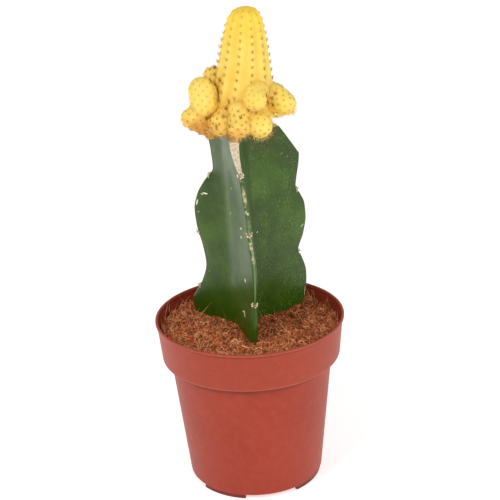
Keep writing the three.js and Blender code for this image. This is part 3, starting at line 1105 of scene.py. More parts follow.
    def build(self) -> None:
        """Builds the pot's piece."""
        bm = self.drilled(self.wall_mesh())
        for i in range(self.foot_count):
            self.add_foot(bm, self.arch_middle + (i + 0.5) * 360 / self.foot_count)
        bmesh.ops.recalc_face_normals(bm, faces=bm.faces)
        plastic = PotPlastic().material()
        finish_piece("nursery_pot", bm, [plastic], ["pot"], self.sharp_angle)


# -------------------- the rootstock


@dataclass(frozen=True)
class Wing:
    """One of the rootstock's three ribs.

    bearing is in degrees, margin gives the reach of the wavy edge by height, areoles are
    heights, and cut is the line of the knife bevel as (height, reach) at its two ends. crust
    and line give how corky the edge is and how pale its ridge, from 0 to 1, by height.
    """

    bearing: float
    margin: Knots
    areoles: Sequence[float]
    cut: tuple[tuple[float, float], tuple[float, float]]
    crust: Knots = ((0, 0), (200, 0))
    line: Knots = ((0, 0.3), (200, 0.3))


FRONT_WING = Wing(
    bearing=-90,
    margin=(
        (50, 8), (61, 19), (73, 26.7), (80, 27.6), (91, 24.4), (97, 26.2), (108, 27.4),
        (123.5, 24.4), (129, 26.2), (138, 27), (150.5, 24), (163.5, 24.6),
    ),
    areoles=(91.2, 124.3, 150.9),
    cut=((151.4, 24), (163.5, 17.6)),
    crust=(
        (110, 0), (113, 0.6), (120, 0.8), (122.5, 0.3), (133, 0.2), (134.5, 1), (138, 0.9),
        (139, 0.3), (140.5, 0.8), (144, 0.7), (146, 0.2), (149, 0.4),
    ),
    line=((76, 0.05), (88, 0.15), (91, 0.4), (94, 0.9), (112, 1), (120, 0.5), (160, 0.2)),
)
RIGHT_WING = Wing(
    bearing=22,
    margin=(
        (50, 10), (61.5, 22), (72.2, 29.6), (80.5, 33.5), (88.7, 34.5), (96.6, 32.2),
        (100.4, 30.5), (108.1, 33.5), (115.1, 34.7), (122.9, 33.7), (127.8, 31.4),
        (132.3, 28.8), (145.7, 30), (163.5, 29.4),
    ),
    areoles=(99.5, 130.4),
    cut=((148.3, 29.7), (163.5, 18.6)),
    crust=((70, 0.9), (88, 0.8), (92, 0), (163, 0)),
)
LEFT_WING = Wing(
    bearing=142,
    margin=(
        (50, 5.7), (61.6, 17.9), (73.3, 26), (79.3, 26.8), (84.4, 24.3), (90.5, 20.7),
        (99, 18.3), (107.4, 19.5), (117.4, 22.3), (125, 23.2), (131.5, 21.7), (137.6, 18.3),
        (145.1, 13.1), (152.6, 14.1), (163.5, 17),
    ),
    areoles=(87.5, 113.9, 141.1),
    cut=((157.1, 15.7), (163.5, 12.4)),
    crust=((120, 0), (125, 0.4), (129, 0.8), (132, 0)),
)


@dataclass(frozen=True)
class Scar:
    """A corky scar on the rootstock, placed where the portrait shows it.

    pixel is its place in the 500 x 500 portrait, length and width are in millimetres, and
    tilt is the angle of its long side above the horizontal, in degrees.
    """

    pixel: tuple[float, float]
    length: float
    width: float
    tilt: float


SCARS: tuple[Scar, ...] = (
    Scar((205, 193.5), 3.6, 0.9, 4),
    Scar((202, 194), 2.0, 0.8, -12),
    Scar((197.2, 201.5), 3.4, 1.1, 80),
    Scar((198.6, 211.5), 0.8, 0.6, 0),
    Scar((231.3, 188.5), 0.9, 0.4, -60),
    Scar((230.6, 213), 1.5, 0.5, -65),
    Scar((236.3, 183), 0.7, 0.5, 90),
    Scar((241, 228.8), 2.2, 1.2, 25),
    Scar((241.4, 237.4), 1.7, 1.3, 60),
    Scar((245.2, 280.5), 2.6, 1.3, -62),
    Scar((244.6, 313.5), 3.2, 1.0, -58),
    Scar((243.3, 311.6), 1.2, 0.9, -60),
    Scar((257.2, 232), 1.0, 0.8, 40),
    Scar((252.6, 184), 1.4, 0.25, 70),
    Scar((281, 153.6), 2.2, 0.22, 22),
    Scar((287, 156.3), 1.0, 0.25, 5),
    Scar((302, 225), 2.6, 0.4, 32),
    Scar((209.5, 271), 1.2, 0.4, 30),
    Scar((304.6, 291), 4.6, 0.35, 78),
    Scar((300.7, 306.6), 1.6, 0.8, 30),
)


@dataclass(frozen=True)
class StemAreole:
    """The sizes of the rootstock's areoles.

    Each has a felt pad, a ring of corky grains, one on each ray, and a spine on the first
    few rays. ring is the ring's radius.
    """

    rays: int = 7
    spines: int = 5
    ring: float = 1.15
    spine_length: Span = (1.0, 0.9)
    spine_radii: tuple[float, float, float] = (0.2, 0.15, 0.04)
    pad: tuple[float, float, float] = (1.3, 1.5, 0.9)
    grain: tuple[float, float, float] = (1.15, 0.95, 0.8)


@dataclass
class Rootstock:
    """The green stem that carries the scion.

    The lower flank_power, the fuller the flanks. The skin's gentle waves are about swell high
    and set in over the depths of swell_depths below the margin. The pale ridge of a margin
    reaches down to ridge_depth and its crust to crust_depth. The foot's green sets in over the
    heights of foot_fade, and only the speckled wing has specks and a painted shadow of the scion.
    """

    bottom: float = 50.0
    top: float = 163.5
    wings: tuple[Wing, ...] = (FRONT_WING, RIGHT_WING, LEFT_WING)
    valley: Knots = ((50, 4), (64, 5.8), (73, 6.4), (120, 6.3), (163.5, 6.2))
    twist: Knots = (
        (50, 8), (73, 8), (91, 11), (108, 10.8), (123.5, 8.7), (149.6, 3), (163.5, -3),
    )
    margin_radius: float = 1.1
    flank_power: Knots = ((73, 0.8), (120, 0.85), (150, 0.95), (163.5, 1.08))
    fillet: float = 0.12
    fillet_power: float = 8.0
    edge_crowding: float = 1.5
    lean_from: tuple[float, float] = (-2.1, 4.0)
    lean_to: tuple[float, float] = (-2.0, 2.0)
    lean_start: float = 73.0
    points_per_wing: int = 64
    levels: int = 200
    swell: float = 0.3
    swell_depths: Span = (0.8, 4.0)
    ridge_depth: float = 0.12
    crust_depth: float = 0.45
    foot_fade: Span = (96.0, 76.0)
    speckled_wing: int = 1
    speckle_depths: Span = (0.6, 2.0)
    painted_scion_shadow_depths: Span = (8.0, 14.0)
    painted_scion_shadow_heights: Span = (150.0, 158.0)
    cut_rim: float = 0.35
    cut_dish: float = 0.12
    areole: StemAreole = StemAreole()
    scab: Cork = Cork("scab", linear(204, 180, 134), linear(244, 234, 204))
    spine_horn: Horn = Horn("stem_spine_horn", linear(150, 104, 66), linear(230, 208, 170))
    felt: Horn = Horn("stem_felt", linear(78, 46, 26), linear(150, 104, 62), 0.95)

    def __post_init__(self) -> None:
        """Prepares the curves."""
        self.reaches = [curve_through(wing.margin) for wing in self.wings]
        self.crusts = [curve_through(wing.crust) for wing in self.wings]
        self.lines = [curve_through(wing.line) for wing in self.wings]
        self.valley_at = curve_through(self.valley)
        self.twist_at = curve_through(self.twist)
        self.power_at = curve_through(self.flank_power)

    def middle(self, height: float) -> Vector:
        """Gives the middle of the stem at a height.

        Args:
            height: The height.

        Returns:
            The middle.
        """
        share = (height - self.lean_start) / (self.top - self.lean_start)
        x, y = (a + share * (b - a) for a, b in zip(self.lean_from, self.lean_to))
        return Vector((x, y, height))

    def bearing(self, wing: Wing, height: float) -> float:
        """Gives a wing's bearing at a height, in radians."""
        return math.radians(wing.bearing + self.twist_at(height))

    def root_of(self, number: int, height: float) -> tuple[float, float]:
        """Gives how deep a wing's root lies below its margin, and half its thickness there."""
        valley = self.valley_at(height)
        return self.reaches[number](height) - valley / 2, valley * math.sin(math.pi / 3)

    def half_thickness(self, depth: float, full: float, root: float, height: float) -> float:
        """Gives half a wing's thickness.

        Args:
            depth: How deep below the margin.
            full: The depth at the wing's root.
            root: Half the thickness there.
            height: The height.

        Returns:
            Half the thickness, in millimetres.
        """
        edge = self.margin_radius
        if depth < edge:
            return math.sqrt(max(edge * edge - (edge - depth) ** 2, 0.0))
        share = (depth - edge) / (full - edge)
        bulge = (1 - self.fillet) * share ** self.power_at(height)
        return edge + (root - edge) * (bulge + self.fillet * share**self.fillet_power)

    def surface_point(self, number: int, side: float, height: float) -> tuple[Vector, float]:
        """Finds a point of the skin.

        Args:
            number: Which wing.
            side: -1 in the valley before the wing, 0 on its margin, 1 in the next valley.
            height: The height.

        Returns:
            The point and its depth below the margin.
        """
        full, root = self.root_of(number, height)
        depth = full * abs(side) ** self.edge_crowding
        half = self.half_thickness(depth, full, root, height)
        across = math.copysign(half, side) if side else 0.0
        along = heading(self.bearing(self.wings[number], height))
        aside = Vector((-along.y, along.x, 0))
        out = self.reaches[number](height) - depth
        return self.middle(height) + along * out + aside * across, depth

    def seat(self, number: int, height: float) -> Seat:
        """Gives a point on a wing's margin and the way it faces."""
        point, _ = self.surface_point(number, 0.0, height)
        return point, heading(self.bearing(self.wings[number], height))

    def spot(self, u: float, v: float) -> Spot:
        """Places one point of the skin's grid; the grid's ends close on the stem's middle.

        Args:
            u: The share round the stem.
            v: The share from the bottom up.

        Returns:
            The point with the skin's marks.
        """
        rows = self.levels
        row = round(v * (rows + 2))
        if row in (0, rows + 2):
            return Spot(self.middle(self.top if row else self.bottom))
        height = self.bottom + (row - 1) / rows * (self.top - self.bottom)
        turn = round(u * self.points_per_wing * 3) % (self.points_per_wing * 3)
        number, step = divmod(turn, self.points_per_wing)
        side = 2 * step / self.points_per_wing - 1
        point, depth = self.surface_point(number, side, height)
        flank = smooth_step(*self.swell_depths, depth)
        flank *= smooth_step(self.top, self.top - 3, height)
        middle = self.middle(height)
        out = Vector((point.x - middle.x, point.y - middle.y, 0))
        wave = ripple(point, 13, 1.0) + 0.5 * ripple(point, 6, 4.0)
        point += out.normalized() * self.swell * wave * flank
        speckled = number == self.speckled_wing
        # Painted shadow of the scion near the top of the speckled wing.
        painted_scion_shadow = smooth_step(*self.painted_scion_shadow_heights, height) * smooth_step(*self.painted_scion_shadow_depths, depth)
        marks = {
            "margin": smooth_step(self.ridge_depth, 0.0, depth) * self.lines[number](height),
            "crust": smooth_step(self.crust_depth, 0.0, depth) * self.crusts[number](height),
            "foot": smooth_step(*self.foot_fade, height),
            "speckle": smooth_step(*self.speckle_depths, depth) * speckled,
            "painted_scion_shadow": painted_scion_shadow * speckled,
        }
        return Spot(point, marks)

    def body_mesh(self) -> bmesh.types.BMesh:
        """Builds the skin and slices the knife bevels off its wings' tops.

        Returns:
            The closed skin; material 1 is the cut.
        """
        marks = ("margin", "crust", "foot", "speckle", "painted_scion_shadow")
        bm = wrapped_sheet(3 * self.points_per_wing, self.levels + 2, self.spot, marks)
        for face in bm.faces:
            if face.calc_center_median().z > self.top - 0.01:
                face.material_index = 1
        for wing in self.wings:
            self.slice_bevel(bm, wing)
        return bm

    def slice_bevel(self, bm: bmesh.types.BMesh, wing: Wing) -> None:
        """Cuts one wing's top along its bevel and closes it with cork.

        Args:
            bm: The stem.
            wing: The wing.
        """
        (low, low_reach), (high, high_reach) = wing.cut
        along = heading(self.bearing(wing, (low + high) / 2))
        normal = along * (high - low) + UP * (low_reach - high_reach)
        cut = bmesh.ops.bisect_plane(
            bm,
            geom=[*bm.verts, *bm.edges, *bm.faces],
            dist=1e-4,
            plane_co=self.middle(high) + along * high_reach,
            plane_no=normal.normalized(),
            clear_outer=True,
        )
        edges = [item for item in cut["geom_cut"] if isinstance(item, bmesh.types.BMEdge)]
        filled = bmesh.ops.holes_fill(bm, edges=edges, sides=0)["faces"]
        rim = bmesh.ops.inset_region(
            bm, faces=filled, thickness=self.cut_rim, depth=-self.cut_dish
        )["faces"]
        for face in [*filled, *rim]:
            face.material_index = 1
        bmesh.ops.triangulate(bm, faces=filled)

    def areole_parts(
        self, draw: random.Random
    ) -> tuple[list[Strand], list[Seat], list[Seat]]:
        """Grows the short spines, the felt pads and the corky rings round them.

        Args:
            draw: The random draws.

        Returns:
            The spines, and a place and facing for each pad and each grain of a ring.
        """
        kind = self.areole
        spines, pads, rings = [], [], []
        for number, wing in enumerate(self.wings):
            for height in wing.areoles:
                seat, outward = self.seat(number, height)
                pads.append((seat, outward))
                aside = outward.cross(UP)
                for i in range(kind.rays):
                    turn = TAU * (i + 0.5 * draw.random()) / kind.rays
                    spread = aside * math.cos(turn) + UP * math.sin(turn)
                    back = outward * (0.25 + 0.45 * math.cos(turn) ** 2)
                    rings.append((seat + spread * kind.ring - back, outward))
                    if i < kind.spines:
                        way = (outward * (0.5 + 0.6 * draw.random()) + spread).normalized()
                        start = seat + outward * 0.1
                        tip = start + way * drawn(kind.spine_length, draw)
                        spines.append(Strand([start, start.lerp(tip, 0.5), tip], kind.spine_radii))
        return spines, pads, rings

    def build(self, camera: Portrait) -> None:
        """Builds the stem, its areoles and its scars.

        Args:
            camera: The portrait's camera, whose pixels place the scars.
        """
        draw = random.Random(7)
        bm = self.body_mesh()
        tree = BVHTree.FromBMesh(bm)
        cork = Cork().material()
        scab = self.scab.material()
        finish_piece(
            "green_stem", bm, [GreenSkin().material(), cork], ["rootstock"]
        )
        spines, pads, rings = self.areole_parts(draw)
        strands_piece("stem_spines", spines, self.spine_horn, 1)
        pebbles = pebble_meshes(6, 0.12, draw)
        size = Vector(self.areole.pad)
        places = [(draw.choice(pebbles), frame_on(p, n, 0.0, size)) for p, n in pads]
        felt = self.felt.material()
        finish_piece("stem_areoles", stamped(places), [felt])
        size = Vector(self.areole.grain)
        places = [
            (draw.choice(pebbles), frame_on(p, n, TAU * draw.random(), size)) for p, n in rings
        ]
        finish_piece("areole_rings", stamped(places), [scab])
        finish_piece("stem_scars", self.scar_mesh(camera, tree, draw), [scab])

    @staticmethod
    def scar_mesh(camera: Portrait, tree: BVHTree, draw: random.Random) -> bmesh.types.BMesh:
        """Lays each scar on the skin where the portrait's camera sees it.

        Args:
            camera: The portrait's camera.
            tree: The stem's skin.
            draw: The random draws.

        Returns:
            The scars.
        """
        pebbles = pebble_meshes(5, 0.3, draw)
        places = []
        for scar in SCARS:
            origin, way = camera.sight(*scar.pixel)
            point, normal, _, _ = tree.ray_cast(origin, way)
            if point is None:
                log.warning("a scar at %s misses the stem", scar.pixel)
                continue
            level = normal.cross(UP).normalized()
            if level.dot(camera.rightward()) < 0:
                level.negate()
            rise = normal.cross(level)
            if rise.z < 0:
                rise.negate()
            tilt = math.radians(scar.tilt)
            long_side = level * math.cos(tilt) + rise * math.sin(tilt)
            basis = Matrix((long_side, normal.cross(long_side), normal)).transposed().to_4x4()
            size = Matrix.Diagonal((scar.length, scar.width, 0.5, 1.0))
            places.append((draw.choice(pebbles), Matrix.Translation(point) @ basis @ size))
        return stamped(places)


# -------------------- the potting mix


FIBRE_STEPS = 5


@dataclass
class PottingMix:
    """Coir mix: a plug with crumbs and stray fibres on top.

    The fields with two numbers give a smallest size and what chance adds to it at most.
    Crumbs and fibres keep stem_gap from the stem, and fibres wall_gap from the pot. Of the
    standing fibres, wall_share stand in a narrow strip at the wall and the rest anywhere in a
    wide one.
    """

    pot: NurseryPot
    stem: Rootstock
    gap: float = 0.3
    level: float = 72.6
    mound: float = 1.3
    waves: float = 0.4
    segments: int = 300
    top_rings: int = 110
    crumbs: int = 4200
    pale_fibres: int = 1100
    rust_fibres: int = 1500
    standing_fibres: int = 260
    crumb_size: Span = (0.45, 1.5)
    lying_step: Span = (0.4, 0.9)
    lying_lift: Span = (0.1, 1.0)
    lying_radius: Span = (0.06, 0.2)
    standing_length: Span = (2.2, 7.5)
    standing_radius: float = 0.15
    stem_gap: float = 0.2
    wall_gap: float = 0.6
    wall_share: float = 0.65
    wall_strip: float = 5.0
    wide_strip: float = 34.0
    crumb: CoirGround = CoirGround(
        "coir_crumb", linear(98, 42, 20), linear(224, 120, 60), linear(252, 170, 100)
    )
    pale: CoirFibre = CoirFibre("pale_coir", linear(206, 128, 76), linear(248, 192, 134))
    rust: CoirFibre = CoirFibre("rust_coir", linear(96, 42, 20), linear(190, 102, 56))

    @property
    def top_radius(self) -> float:
        """The radius of the mix at the pot's wall."""
        return self.pot.band_radius(self.level) - self.pot.wall - self.gap

    def height_at(self, x: float, y: float) -> float:
        """Gives the height of the mix's surface at a place.

        Args:
            x: The place.
            y: The place.

        Returns:
            The height.
        """
        wall = self.pot.band_radius(self.level) - self.pot.wall
        mound = self.mound * (1 - (math.hypot(x, y) / wall) ** 2)
        slow = self.waves * math.sin(0.21 * x + 0.9) * math.cos(0.17 * y - 0.4)
        spot = Vector((x, y, 0))
        clods = 0.9 * ripple(spot, 5.5, 2.0) + 0.95 * ripple(spot, 2.1, 5.0)
        dust = 0.4 * ripple(spot, 1.1, 9.0) + 0.2 * ripple(spot, 0.5, 12.0)
        return self.level + mound + slow + clods + dust

    def spot(self, u: float, v: float) -> Spot:
        """Places one point of the plug's grid, from its bottom's middle up and over.

        Args:
            u: The share round the plug.
            v: The share along its outline.

        Returns:
            The point.
        """
        inset = self.pot.wall + self.gap
        bottom = self.pot.foot_height + self.pot.floor + self.gap
        ledge = self.pot.band_bottom + inset
        rings = [
            (0.0, bottom),
            (self.pot.body_radius(bottom) - inset, bottom),
            (self.pot.body_radius(ledge) - inset, ledge),
            (self.pot.band_radius(ledge) - inset, ledge),
        ]
        row = round(v * (self.top_rings + len(rings)))
        turn = TAU * u
        if row < len(rings):
            reach, height = rings[row]
            return Spot(Vector((*polar(reach, turn), height)))
        x, y = polar(self.top_radius * (1 - (row - len(rings)) / self.top_rings), turn)
        return Spot(Vector((x, y, self.height_at(x, y))))

    def is_free(self, x: float, y: float, margin: float) -> bool:
        """Tells whether a place on the mix is outside the stem by a margin.

        Args:
            x: The place.
            y: The place.
            margin: How far outside.

        Returns:
            True when it is.
        """
        middle = self.stem.middle(self.level)
        offset = Vector((x - middle.x, y - middle.y, 0))
        for number, wing in enumerate(self.stem.wings):
            out = heading(self.stem.bearing(wing, self.level))
            along = offset.dot(out)
            across = abs(offset.dot(Vector((-out.y, out.x, 0))))
            reach = self.stem.reaches[number](self.level)
            if not 0 < along < reach + margin:
                continue
            full, root = self.stem.root_of(number, self.level)
            depth = min(max(reach - along, 0.0), full)
            if across < self.stem.half_thickness(depth, full, root, self.level) + margin:
                return False
        return True

    def draw_place(self, draw: random.Random, edge: float = 1.0) -> tuple[float, float]:
        """Draws a place on the mix, clear of the stem and of the wall by edge.

        Args:
            draw: The random draws.
            edge: The gap to the wall.

        Returns:
            Its x and y.
        """
        while True:
            reach = (self.top_radius - edge) * math.sqrt(draw.random())
            x, y = polar(reach, TAU * draw.random())
            if self.is_free(x, y, self.stem_gap):
                return x, y

    def crumb_mesh(self, draw: random.Random) -> bmesh.types.BMesh:
        """Strews crumbs over the mix.

        Args:
            draw: The random draws.

        Returns:
            The crumbs.
        """
        pebbles = pebble_meshes(10, 0.35, draw)
        places = []
        for _ in range(self.crumbs):
            x, y = self.draw_place(draw)
            size = drawn(self.crumb_size, draw, 2.5)
            point = Vector((x, y, self.height_at(x, y) + 0.12 * size))
            facing = Vector((draw.gauss(0, 0.5), draw.gauss(0, 0.5), 1)).normalized()
            shape = Vector((1.4, 0.45 + 0.4 * draw.random(), 0.35 + 0.4 * draw.random())) * size
            pebble = draw.choice(pebbles)
            places.append((pebble, frame_on(point, facing, TAU * draw.random(), shape)))
        return stamped(places)

    def lying_fibre(self, draw: random.Random) -> Strand:
        """Lays one fibre over the mix in a loose bend.

        Args:
            draw: The random draws.

        Returns:
            The fibre.
        """
        x, y = self.draw_place(draw, 1.2)
        course = TAU * draw.random()
        bend = draw.gauss(0, 0.3)
        step = drawn(self.lying_step, draw, 2)
        lift = drawn(self.lying_lift, draw, 2)
        tilt = draw.gauss(0, 0.9)
        radius = drawn(self.lying_radius, draw, 2)
        points = []
        for i in range(FIBRE_STEPS + 1):
            arch = math.sin(math.pi * i / FIBRE_STEPS)
            rise = 0.1 + lift * arch + tilt * (i / FIBRE_STEPS - 0.5)
            points.append(Vector((x, y, self.height_at(x, y) + rise)))
            course += bend + draw.gauss(0, 0.25)
            aside, ahead = polar(step, course)
            place = x + aside, y + ahead
            at_wall = math.hypot(*place) > self.top_radius - 0.4
            if at_wall or not self.is_free(*place, self.stem_gap):
                break
            x, y = place
        if len(points) < 2:
            points.append(points[0] + Vector((0.4, 0.1, 0.2)))
        taper = [radius] * len(points)
        taper[-1] = radius * 0.4
        return Strand(points, taper)

    def standing_fibre(self, draw: random.Random) -> Strand:
        """Stands one fibre up out of the mix, mostly near the wall.

        Args:
            draw: The random draws.

        Returns:
            The fibre.
        """
        strip = self.wall_strip if draw.random() < self.wall_share else self.wide_strip
        while True:
            reach = self.top_radius - 0.8 - strip * draw.random() ** 1.5
            x, y = polar(reach, TAU * draw.random())
            if self.is_free(x, y, 0.3):
                break
        root = Vector((x, y, self.height_at(x, y) - 0.4))
        length = drawn(self.standing_length, draw, 2)
        inward = Vector((-x, -y, 0)).normalized()
        lean = Vector((draw.gauss(0, 0.4), draw.gauss(0, 0.4), 0)) + inward * 0.15
        curl = Vector((draw.gauss(0, 0.3), draw.gauss(0, 0.3), -0.15))
        limit = self.top_radius - self.wall_gap
        points, radii = [], []
        for i in range(FIBRE_STEPS + 1):
            t = i / FIBRE_STEPS
            point = root + (UP + lean) * length * t + curl * length * t * t
            reach = math.hypot(point.x, point.y)
            if reach > limit:
                squeeze = limit / reach
                point = Vector((point.x * squeeze, point.y * squeeze, point.z))
            points.append(point)
            radii.append(self.standing_radius * (1 - 0.7 * i / FIBRE_STEPS))
        return Strand(points, radii)

    def build(self) -> None:
        """Builds the plug, its crumbs and its fibres."""
        draw = random.Random(23)
        ground = CoirGround().material()
        crumb = self.crumb.material()
        plug = wrapped_sheet(self.segments, self.top_rings + 4, self.spot)
        finish_piece("coir_plug", plug, [ground], ["potting_mix"])
        finish_piece("coir_crumbs", self.crumb_mesh(draw), [crumb])
        pale = self.fibres(self.pale_fibres, draw)
        rust = self.fibres(self.rust_fibres, draw)
        strands_piece("pale_fibres", pale, self.pale)
        strands_piece("rust_fibres", rust, self.rust)

    def fibres(self, lying: int, draw: random.Random) -> list[Strand]:
        """Draws that many lying fibres, and then the standing ones."""
        strands = [self.lying_fibre(draw) for _ in range(lying)]
        return strands + [self.standing_fibre(draw) for _ in range(self.standing_fibres)]


# -------------------- the scion


# The bearings of an areole's spines in degrees, from its side round over its top. The first
# LONG_SPINES are the long ones, and the others have SHORT_SHARE of their length.
SPINE_BEARINGS = (60, 92, 124, 5, 175, 235, 300)
LONG_SPINES = 3
SHORT_SHARE = 0.55
# The places on X between which the scion's blush, partly painted shade, sets in, from right to
# left.
BLUSH_AND_SHADE_SIDE: Span = (9.0, -1.0)
FLESH_MARKS = ("valley", "areole", "foot", "crease")


@dataclass
class Tuft:
    """One areole of the scion: a felt pad with a few short spines.

    rise is the way up along the skin, length the length of the long spines, and count how
    many spines there are.
    """

    seat: Vector
    outward: Vector
    rise: Vector
    length: float
    count: int

    def spines(self, draw: random.Random) -> list[Strand]:
        """Grows its spines.

        Args:
            draw: The random draws.

        Returns:
            The spines.
        """
        aside = self.outward.cross(self.rise).normalized()
        thick = 0.045 + 0.035 * self.length
        radii = [thick, 0.75 * thick, 0.25 * thick]
        start = self.seat - self.outward * 0.15
        strands = []
        for i, bearing in enumerate(SPINE_BEARINGS[: self.count]):
            turn = math.radians(bearing + 18 * (draw.random() - 0.5))
            spread = aside * math.cos(turn) + self.rise * math.sin(turn)
            way = (spread + self.outward * (0.3 + 0.5 * draw.random())).normalized()
            share = 1.0 if i < LONG_SPINES else SHORT_SHARE
            tip = self.seat + way * (self.length * share * (0.8 + 0.4 * draw.random()))
            strands.append(Strand([start, start.lerp(tip, 0.55), tip], radii))
        return strands

    def pad_size(self) -> Vector:
        """Gives the size of its felt pad, larger under longer spines."""
        return Vector((0.5, 0.6, 0.25)) * min(0.25 + 0.36 * self.length, 0.95)


@dataclass
class ScionColumn:
    """The scion's main stem. Heights are above the graft.

    outline is its radius by height, pitches the step from areole to areole, and tubercle how
    far the skin swells under one. Offsets fold against it below fold_top, and against the cut
    of the rootstock below fold_base. The blush, partly painted shade, sets in over the heights
    of blush_and_shade_fade. Spines are spine long, older_spine longer over the heights of
    older_fade, fold_spine longer in a fold, and shorter by young_share over the heights of
    young_fade.
    """

    graft: float = 163.8
    height: float = 53.2
    lean: float = 0.062
    base: tuple[float, float] = (0.8, 0.5)
    outline: Knots = (
        (0, 8.6), (1.2, 11.2), (4, 12.8), (9, 13.3), (14, 13.1), (24, 12), (30.3, 11), (36.3, 10),
        (43.3, 8.6), (47, 7.7), (49.6, 6.6), (51.5, 5), (52.6, 3.1), (53.1, 1.4), (53.2, 0),
    )
    ribs: int = 12
    rib_bearing: float = -101.0
    twist: Knots = ((0, -11), (14, -8), (32, -1), (40, 0), (53.2, 0))
    groove: float = 1.0
    tubercle: float = 0.25
    pitches: Knots = ((0, 3.8), (22, 3.8), (32, 3.1), (53.2, 3.1))
    young_areole: float = 52.0
    first_areole: float = 49.9
    last_areole: float = 2.5
    fold_top: float = 36.0
    fold_base: float = 3.5
    blush_and_shade_fade: Span = (24.0, 6.0)
    spine: float = 1.5
    older_spine: float = 0.4
    older_fade: Span = (34.0, 10.0)
    fold_spine: float = 1.1
    young_share: float = 0.8
    young_fade: Span = (38.0, 51.0)
    around: int = 288
    levels: int = 200

    def __post_init__(self) -> None:
        """Prepares the curves and the rows of areoles."""
        self.outline_at = curve_through(self.outline)
        self.pitch_at = curve_through(self.pitches)
        self.twist_at = curve_through(self.twist)
        self.rows = [self.row(shift) for shift in (0.0, 0.5)]

    def row(self, shift: float) -> list[float]:
        """Lists the heights of a rib's areoles, shifted down by a share of a step.

        Args:
            shift: The share.

        Returns:
            The heights.
        """
        heights = [self.young_areole - shift]
        height = self.first_areole - shift * self.pitch_at(self.first_areole)
        while height > self.last_areole:
            heights.append(height)
            height -= self.pitch_at(height)
        return heights

    def middle(self, height: float) -> Vector:
        """Gives the column's middle at a height above the graft."""
        return Vector((self.base[0] + self.lean * height, self.base[1], self.graft + height))

    def crest(self, rib: int, height: float) -> float:
        """Gives the bearing of a rib's crest at a height, in radians."""
        return math.radians(self.rib_bearing + self.twist_at(height) + rib * 360 / self.ribs)

    def radius(self, bearing: float, height: float) -> tuple[float, float, float]:
        """Works out the column's skin.

        Args:
            bearing: In radians.
            height: Above the graft.

        Returns:
            The radius, how deep in a valley the point is from 0 to 1, and how near it is to
            an areole from 0 to 1.
        """
        phase = self.ribs * (bearing - self.crest(0, height))
        crest = math.cos(phase)
        row = self.rows[abs(round(phase / TAU)) % 2]
        nearest = min(abs(areole - height) for areole in row)
        step = min(nearest / self.pitch_at(height), 0.5)
        outline = self.outline_at(height)
        groove = self.groove * min(1.0, outline / 9) * (0.5 - 0.5 * crest)
        swelling = self.tubercle * max(0.0, crest) ** 2 * math.cos(TAU * step)
        radius = outline - groove + swelling * min(1.0, outline / 6)
        aside = outline * abs((phase + math.pi) % TAU - math.pi) / self.ribs
        closeness = smooth_step(1.1, 0.3, math.hypot(aside, nearest))
        return radius, 0.5 - 0.5 * crest, closeness

    def spot(self, u: float, v: float, mass: ScionMass) -> Spot:
        """Places one point of the column's grid, from its foot's middle up to its tip.

        Args:
            u: The share round the column.
            v: The share from its foot up.
            mass: The scion, whose offsets it folds against.

        Returns:
            The point with the flesh's marks.
        """
        row = round(v * (self.levels + 1))
        if row == 0:
            return Spot(self.middle(0.0))
        share = math.sin((row - 1) / self.levels * math.pi / 2) ** 0.92
        height = self.height * share
        bearing = TAU * u
        radius, valley, areole = self.radius(bearing, height)
        outward = heading(bearing)
        point = self.middle(height) + outward * radius
        crease = mass.crease(point, None) if height < self.fold_top else 0.0
        # foot carries the blush with its painted shade; valley and crease give painted shade in
        # ribs and folds.
        marks = {
            "valley": valley,
            "areole": areole,
            "foot": smooth_step(*self.blush_and_shade_fade, height) * smooth_step(*BLUSH_AND_SHADE_SIDE, point.x),
            "crease": max(crease, smooth_step(self.fold_base, 0.0, height)),
        }
        return Spot(point + outward * mass.fillet * crease, marks)

    def tufts(self, mass: ScionMass) -> list[Tuft]:
        """Lists the column's areoles.

        Args:
            mass: The scion, whose offsets hide some of them.

        Returns:
            The areoles that show.
        """
        tufts = []
        for rib in range(self.ribs):
            for height in self.rows[rib % 2]:
                bearing = self.crest(rib, height)
                outward = heading(bearing)
                slope = self.outline_at(height - 0.5) - self.outline_at(height + 0.5)
                facing = (outward + UP * slope).normalized()
                seat = self.middle(height) + outward * self.radius(bearing, height)[0]
                if mass.is_buried(seat, None):
                    continue
                length = self.spine + self.older_spine * smooth_step(*self.older_fade, height)
                length += self.fold_spine * mass.crease(seat, None)
                length *= 1 - self.young_share * smooth_step(*self.young_fade, height)
                tufts.append(Tuft(seat, facing, uphill(facing), length, 6))
        return tufts

    def sheet(self, mass: ScionMass) -> bmesh.types.BMesh:
        """Builds the column's skin."""
        place = partial(self.spot, mass=mass)
        return wrapped_sheet(self.around, self.levels + 1, place, FLESH_MARKS)

    def round_column(self, bearing: float, height: float, reach: float) -> Vector:
        """Finds a place from its bearing, height above the graft and reach from the middle."""
        return self.middle(height) + heading(math.radians(bearing)) * reach


# A place by the column: bearing in degrees, height above the graft, reach from its middle.
Station = tuple[float, float, float]


